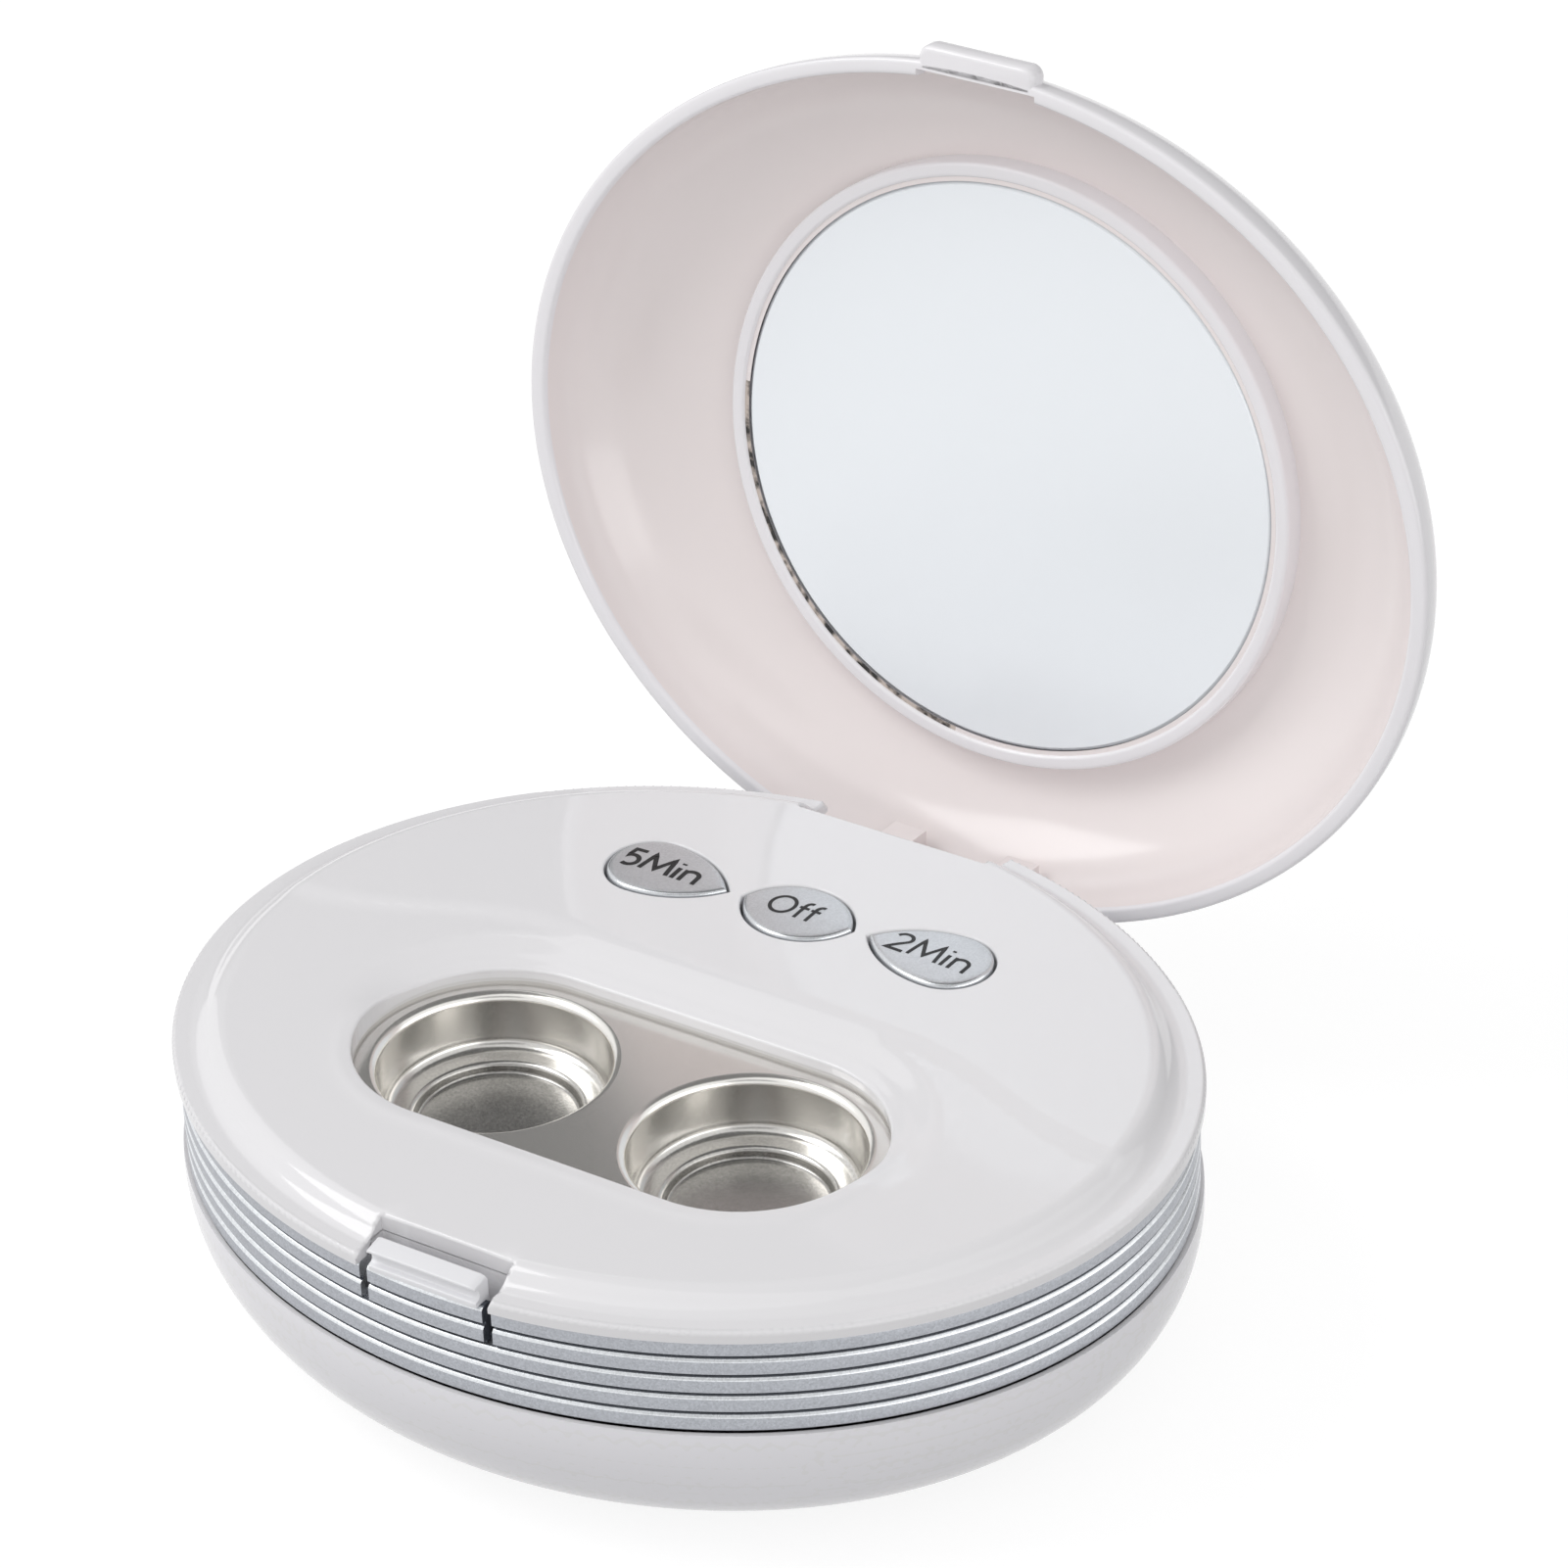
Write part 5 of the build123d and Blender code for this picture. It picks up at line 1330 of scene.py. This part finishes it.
# %% Camera
azimuth, elevation, roll = math.radians(33.49), math.radians(32.06), math.radians(-2.218)
focal_px, frame_px, sensor_mm = 6147.0, 1601.0, 36.0
right_px, down_px = 698.7 - frame_px / 2, 1073.0 - frame_px / 2     # the flange's middle, from the centre
distance_halves = 11.19                 # how far off the camera is, in half widths of the case
back = Vector((math.sin(azimuth) * math.cos(elevation), -math.cos(azimuth) * math.cos(elevation),
               math.sin(elevation)))
level = (-back).cross(Vector((0, 0, 1))).normalized()
upright = level.cross(-back)
across = level * math.cos(roll) + upright * math.sin(roll)
upward = upright * math.cos(roll) - level * math.sin(roll)
away = distance_halves * (back - right_px / focal_px * across + down_px / focal_px * upward)
camera_data = bpy.data.cameras.new("camera")
camera_data.sensor_width = sensor_mm
camera_data.sensor_fit = "HORIZONTAL"
camera_data.lens = focal_px / frame_px * sensor_mm
camera_data.clip_end = 20.0
camera = bpy.data.objects.new("camera", camera_data)
bpy.context.scene.collection.objects.link(camera)
aimed = Matrix((across, upward, back)).transposed().to_4x4()
camera.matrix_world = Matrix.Translation(away * HALF * MM + Vector((0, 0, FLANGE_Z * MM))) @ aimed
bpy.context.scene.camera = camera
bpy.context.scene.view_settings.view_transform = "Standard"
print("lens", round(camera_data.lens, 1), "mm")

# %% [markdown]
# ## Floor and light
#
# Behind the object everything is white, as on a sheet of paper that curves up at the back. Light
# strong enough to make it so would wash out the pale case. So the floor and the world are white
# only where they are seen directly, while the light that they throw stays modest. The floor also
# keeps a thin veil that light can darken, which leaves the object's soft shadow on it.

# %% White floor
floor_mesh = bpy.data.meshes.new("floor")
floor_mesh.from_pydata([(-3, -3, 0), (3, -3, 0), (3, 3, 0), (-3, 3, 0)], [], [(0, 1, 2, 3)])
floor = bpy.data.objects.new("floor", floor_mesh)
bpy.context.scene.collection.objects.link(floor)
floor_paper = new_material("white_card", Base_Color=linear("#B4B4B4"), Roughness=0.9)
floor_mesh.materials.append(floor_paper)


def seen_directly(tree):
    """1 for rays from the camera, and for those that a mirror or glass sends on."""
    rays = tree.nodes.new("ShaderNodeLightPath")
    total = rays.outputs["Is Camera Ray"]
    for kind in ("Is Glossy Ray", "Is Transmission Ray"):
        larger = tree.nodes.new("ShaderNodeMath")
        larger.operation = "MAXIMUM"
        tree.links.new(total, larger.inputs[0])
        tree.links.new(rays.outputs[kind], larger.inputs[1])
        total = larger.outputs[0]
    return total


print("floor", floor.name, "of", floor_paper.name)

# %% [markdown]
# The floor mixes two surfaces. A ray that the eye follows finds the glow with the veil. Any other
# ray finds plain grey card, so the floor throws only a little light up at the bowl.

# %% Floor's glow and veil
FLOOR_GLOW, FLOOR_VEIL = 0.84, 0.24     # together white, where no shadow falls
tree = floor_paper.node_tree
glow = tree.nodes.new("ShaderNodeEmission")
glow.inputs["Strength"].default_value = FLOOR_GLOW
veil = tree.nodes.new("ShaderNodeBsdfDiffuse")
veil.inputs["Color"].default_value = (FLOOR_VEIL, FLOOR_VEIL, FLOOR_VEIL, 1)
bright = tree.nodes.new("ShaderNodeAddShader")
tree.links.new(glow.outputs[0], bright.inputs[0])
tree.links.new(veil.outputs[0], bright.inputs[1])
choose = tree.nodes.new("ShaderNodeMixShader")
tree.links.new(seen_directly(tree), choose.inputs[0])
tree.links.new(tree.nodes["Principled BSDF"].outputs[0], choose.inputs[1])
tree.links.new(bright.outputs[0], choose.inputs[2])
tree.links.new(choose.outputs[0], tree.nodes["Material Output"].inputs["Surface"])
print("floor", len(tree.nodes), "nodes")

# %% [markdown]
# The world is a plain colour that changes in strength: full white where it is seen directly, and
# less where it lights the object. A picture of a room would give livelier reflections, but also
# shapes in the gloss that this plain studio does not have.

# %% World
WORLD_LIGHT = 0.6                       # what the object gets, where 1 is the white that is seen
world = bpy.data.worlds.new("studio")
bpy.context.scene.world = world
world.use_nodes = True
tree = world.node_tree
backdrop = tree.nodes["Background"]
backdrop.inputs["Color"].default_value = (1, 1, 1, 1)
white = seen_directly(tree)
level_of = tree.nodes.new("ShaderNodeMapRange")
level_of.inputs["To Min"].default_value = WORLD_LIGHT
level_of.inputs["To Max"].default_value = 1.0
tree.links.new(white, level_of.inputs["Value"])
tree.links.new(level_of.outputs["Result"], backdrop.inputs["Strength"])
print("world", world.name, "lights at", WORLD_LIGHT)

# %% [markdown]
# Glossy white plastic shows its shape only by what it reflects. Four cards stand or hang round the
# object, grey behind, above and in front and bright on the right, and nothing but gloss sees them.
# Soft lamps give the shading: a key from the left, and three weak fills that leave no highlight.

# %% Lamps and cards
def softbox(name, place, target, size, watts, glossy=True):
    """A soft panel of light aimed at a point. With glossy off, no gloss shows its shape."""
    lamp_data = bpy.data.lights.new(name, "AREA")
    lamp_data.shape = "RECTANGLE"
    lamp_data.size, lamp_data.size_y = size
    lamp_data.energy = watts
    lamp = bpy.data.objects.new(name, lamp_data)
    bpy.context.scene.collection.objects.link(lamp)
    lamp.location = place
    lamp.rotation_euler = (Vector(place) - Vector(target)).to_track_quat("Z", "Y").to_euler()
    lamp.visible_glossy = glossy
    return lamp


def card(name, corners, shade):
    """A card beside the object that only its gloss can see."""
    mesh = bpy.data.meshes.new(name)
    mesh.from_pydata(corners, [], [(0, 1, 2, 3)])
    made = bpy.data.objects.new(name, mesh)
    bpy.context.scene.collection.objects.link(made)
    paint = new_material(name + "_paint", Base_Color=(0, 0, 0, 1), Roughness=1.0,
                         Emission_Color=(shade, shade, shade, 1), Emission_Strength=1.0)
    mesh.materials.append(paint)
    made.visible_camera = made.visible_diffuse = made.visible_shadow = made.visible_transmission = False
    return made


card("rear_card", [(-2.6, 1.2, 0.05), (0.7, 1.2, 0.05), (0.7, 1.2, 1.9), (-2.6, 1.2, 1.9)], 0.22)
card("ceiling_card", [(-0.9, -0.5, 1.9), (0.9, -0.5, 1.9), (0.9, 1.2, 1.9), (-0.9, 1.2, 1.9)], 0.2)
card("front_card", [(0.1, -1.6, 0.9), (1.2, -1.0, 0.9), (1.2, -1.0, 1.8), (0.1, -1.6, 1.8)], 0.45)
softbox("key", (-0.5, -0.3, 0.7), (0, 0, 0.03), (0.5, 0.5), 2.6)
card("side_card", [(1.0, -0.9, 0.0), (1.0, 0.7, 0.0), (1.0, 0.7, 0.6), (1.0, -0.9, 0.6)], 2.4)
softbox("fill", (0.6, -0.5, 0.4), (0, 0, 0.04), (0.35, 0.35), 1.2, glossy=False)
softbox("low_fill", (0.3, -0.9, 0.45), (0, 0.05, 0.08), (0.6, 0.4), 0.55, glossy=False)
softbox("left_fill", (-0.9, -0.35, 0.12), (0, 0, 0.02), (0.4, 0.3), 0.8, glossy=False)
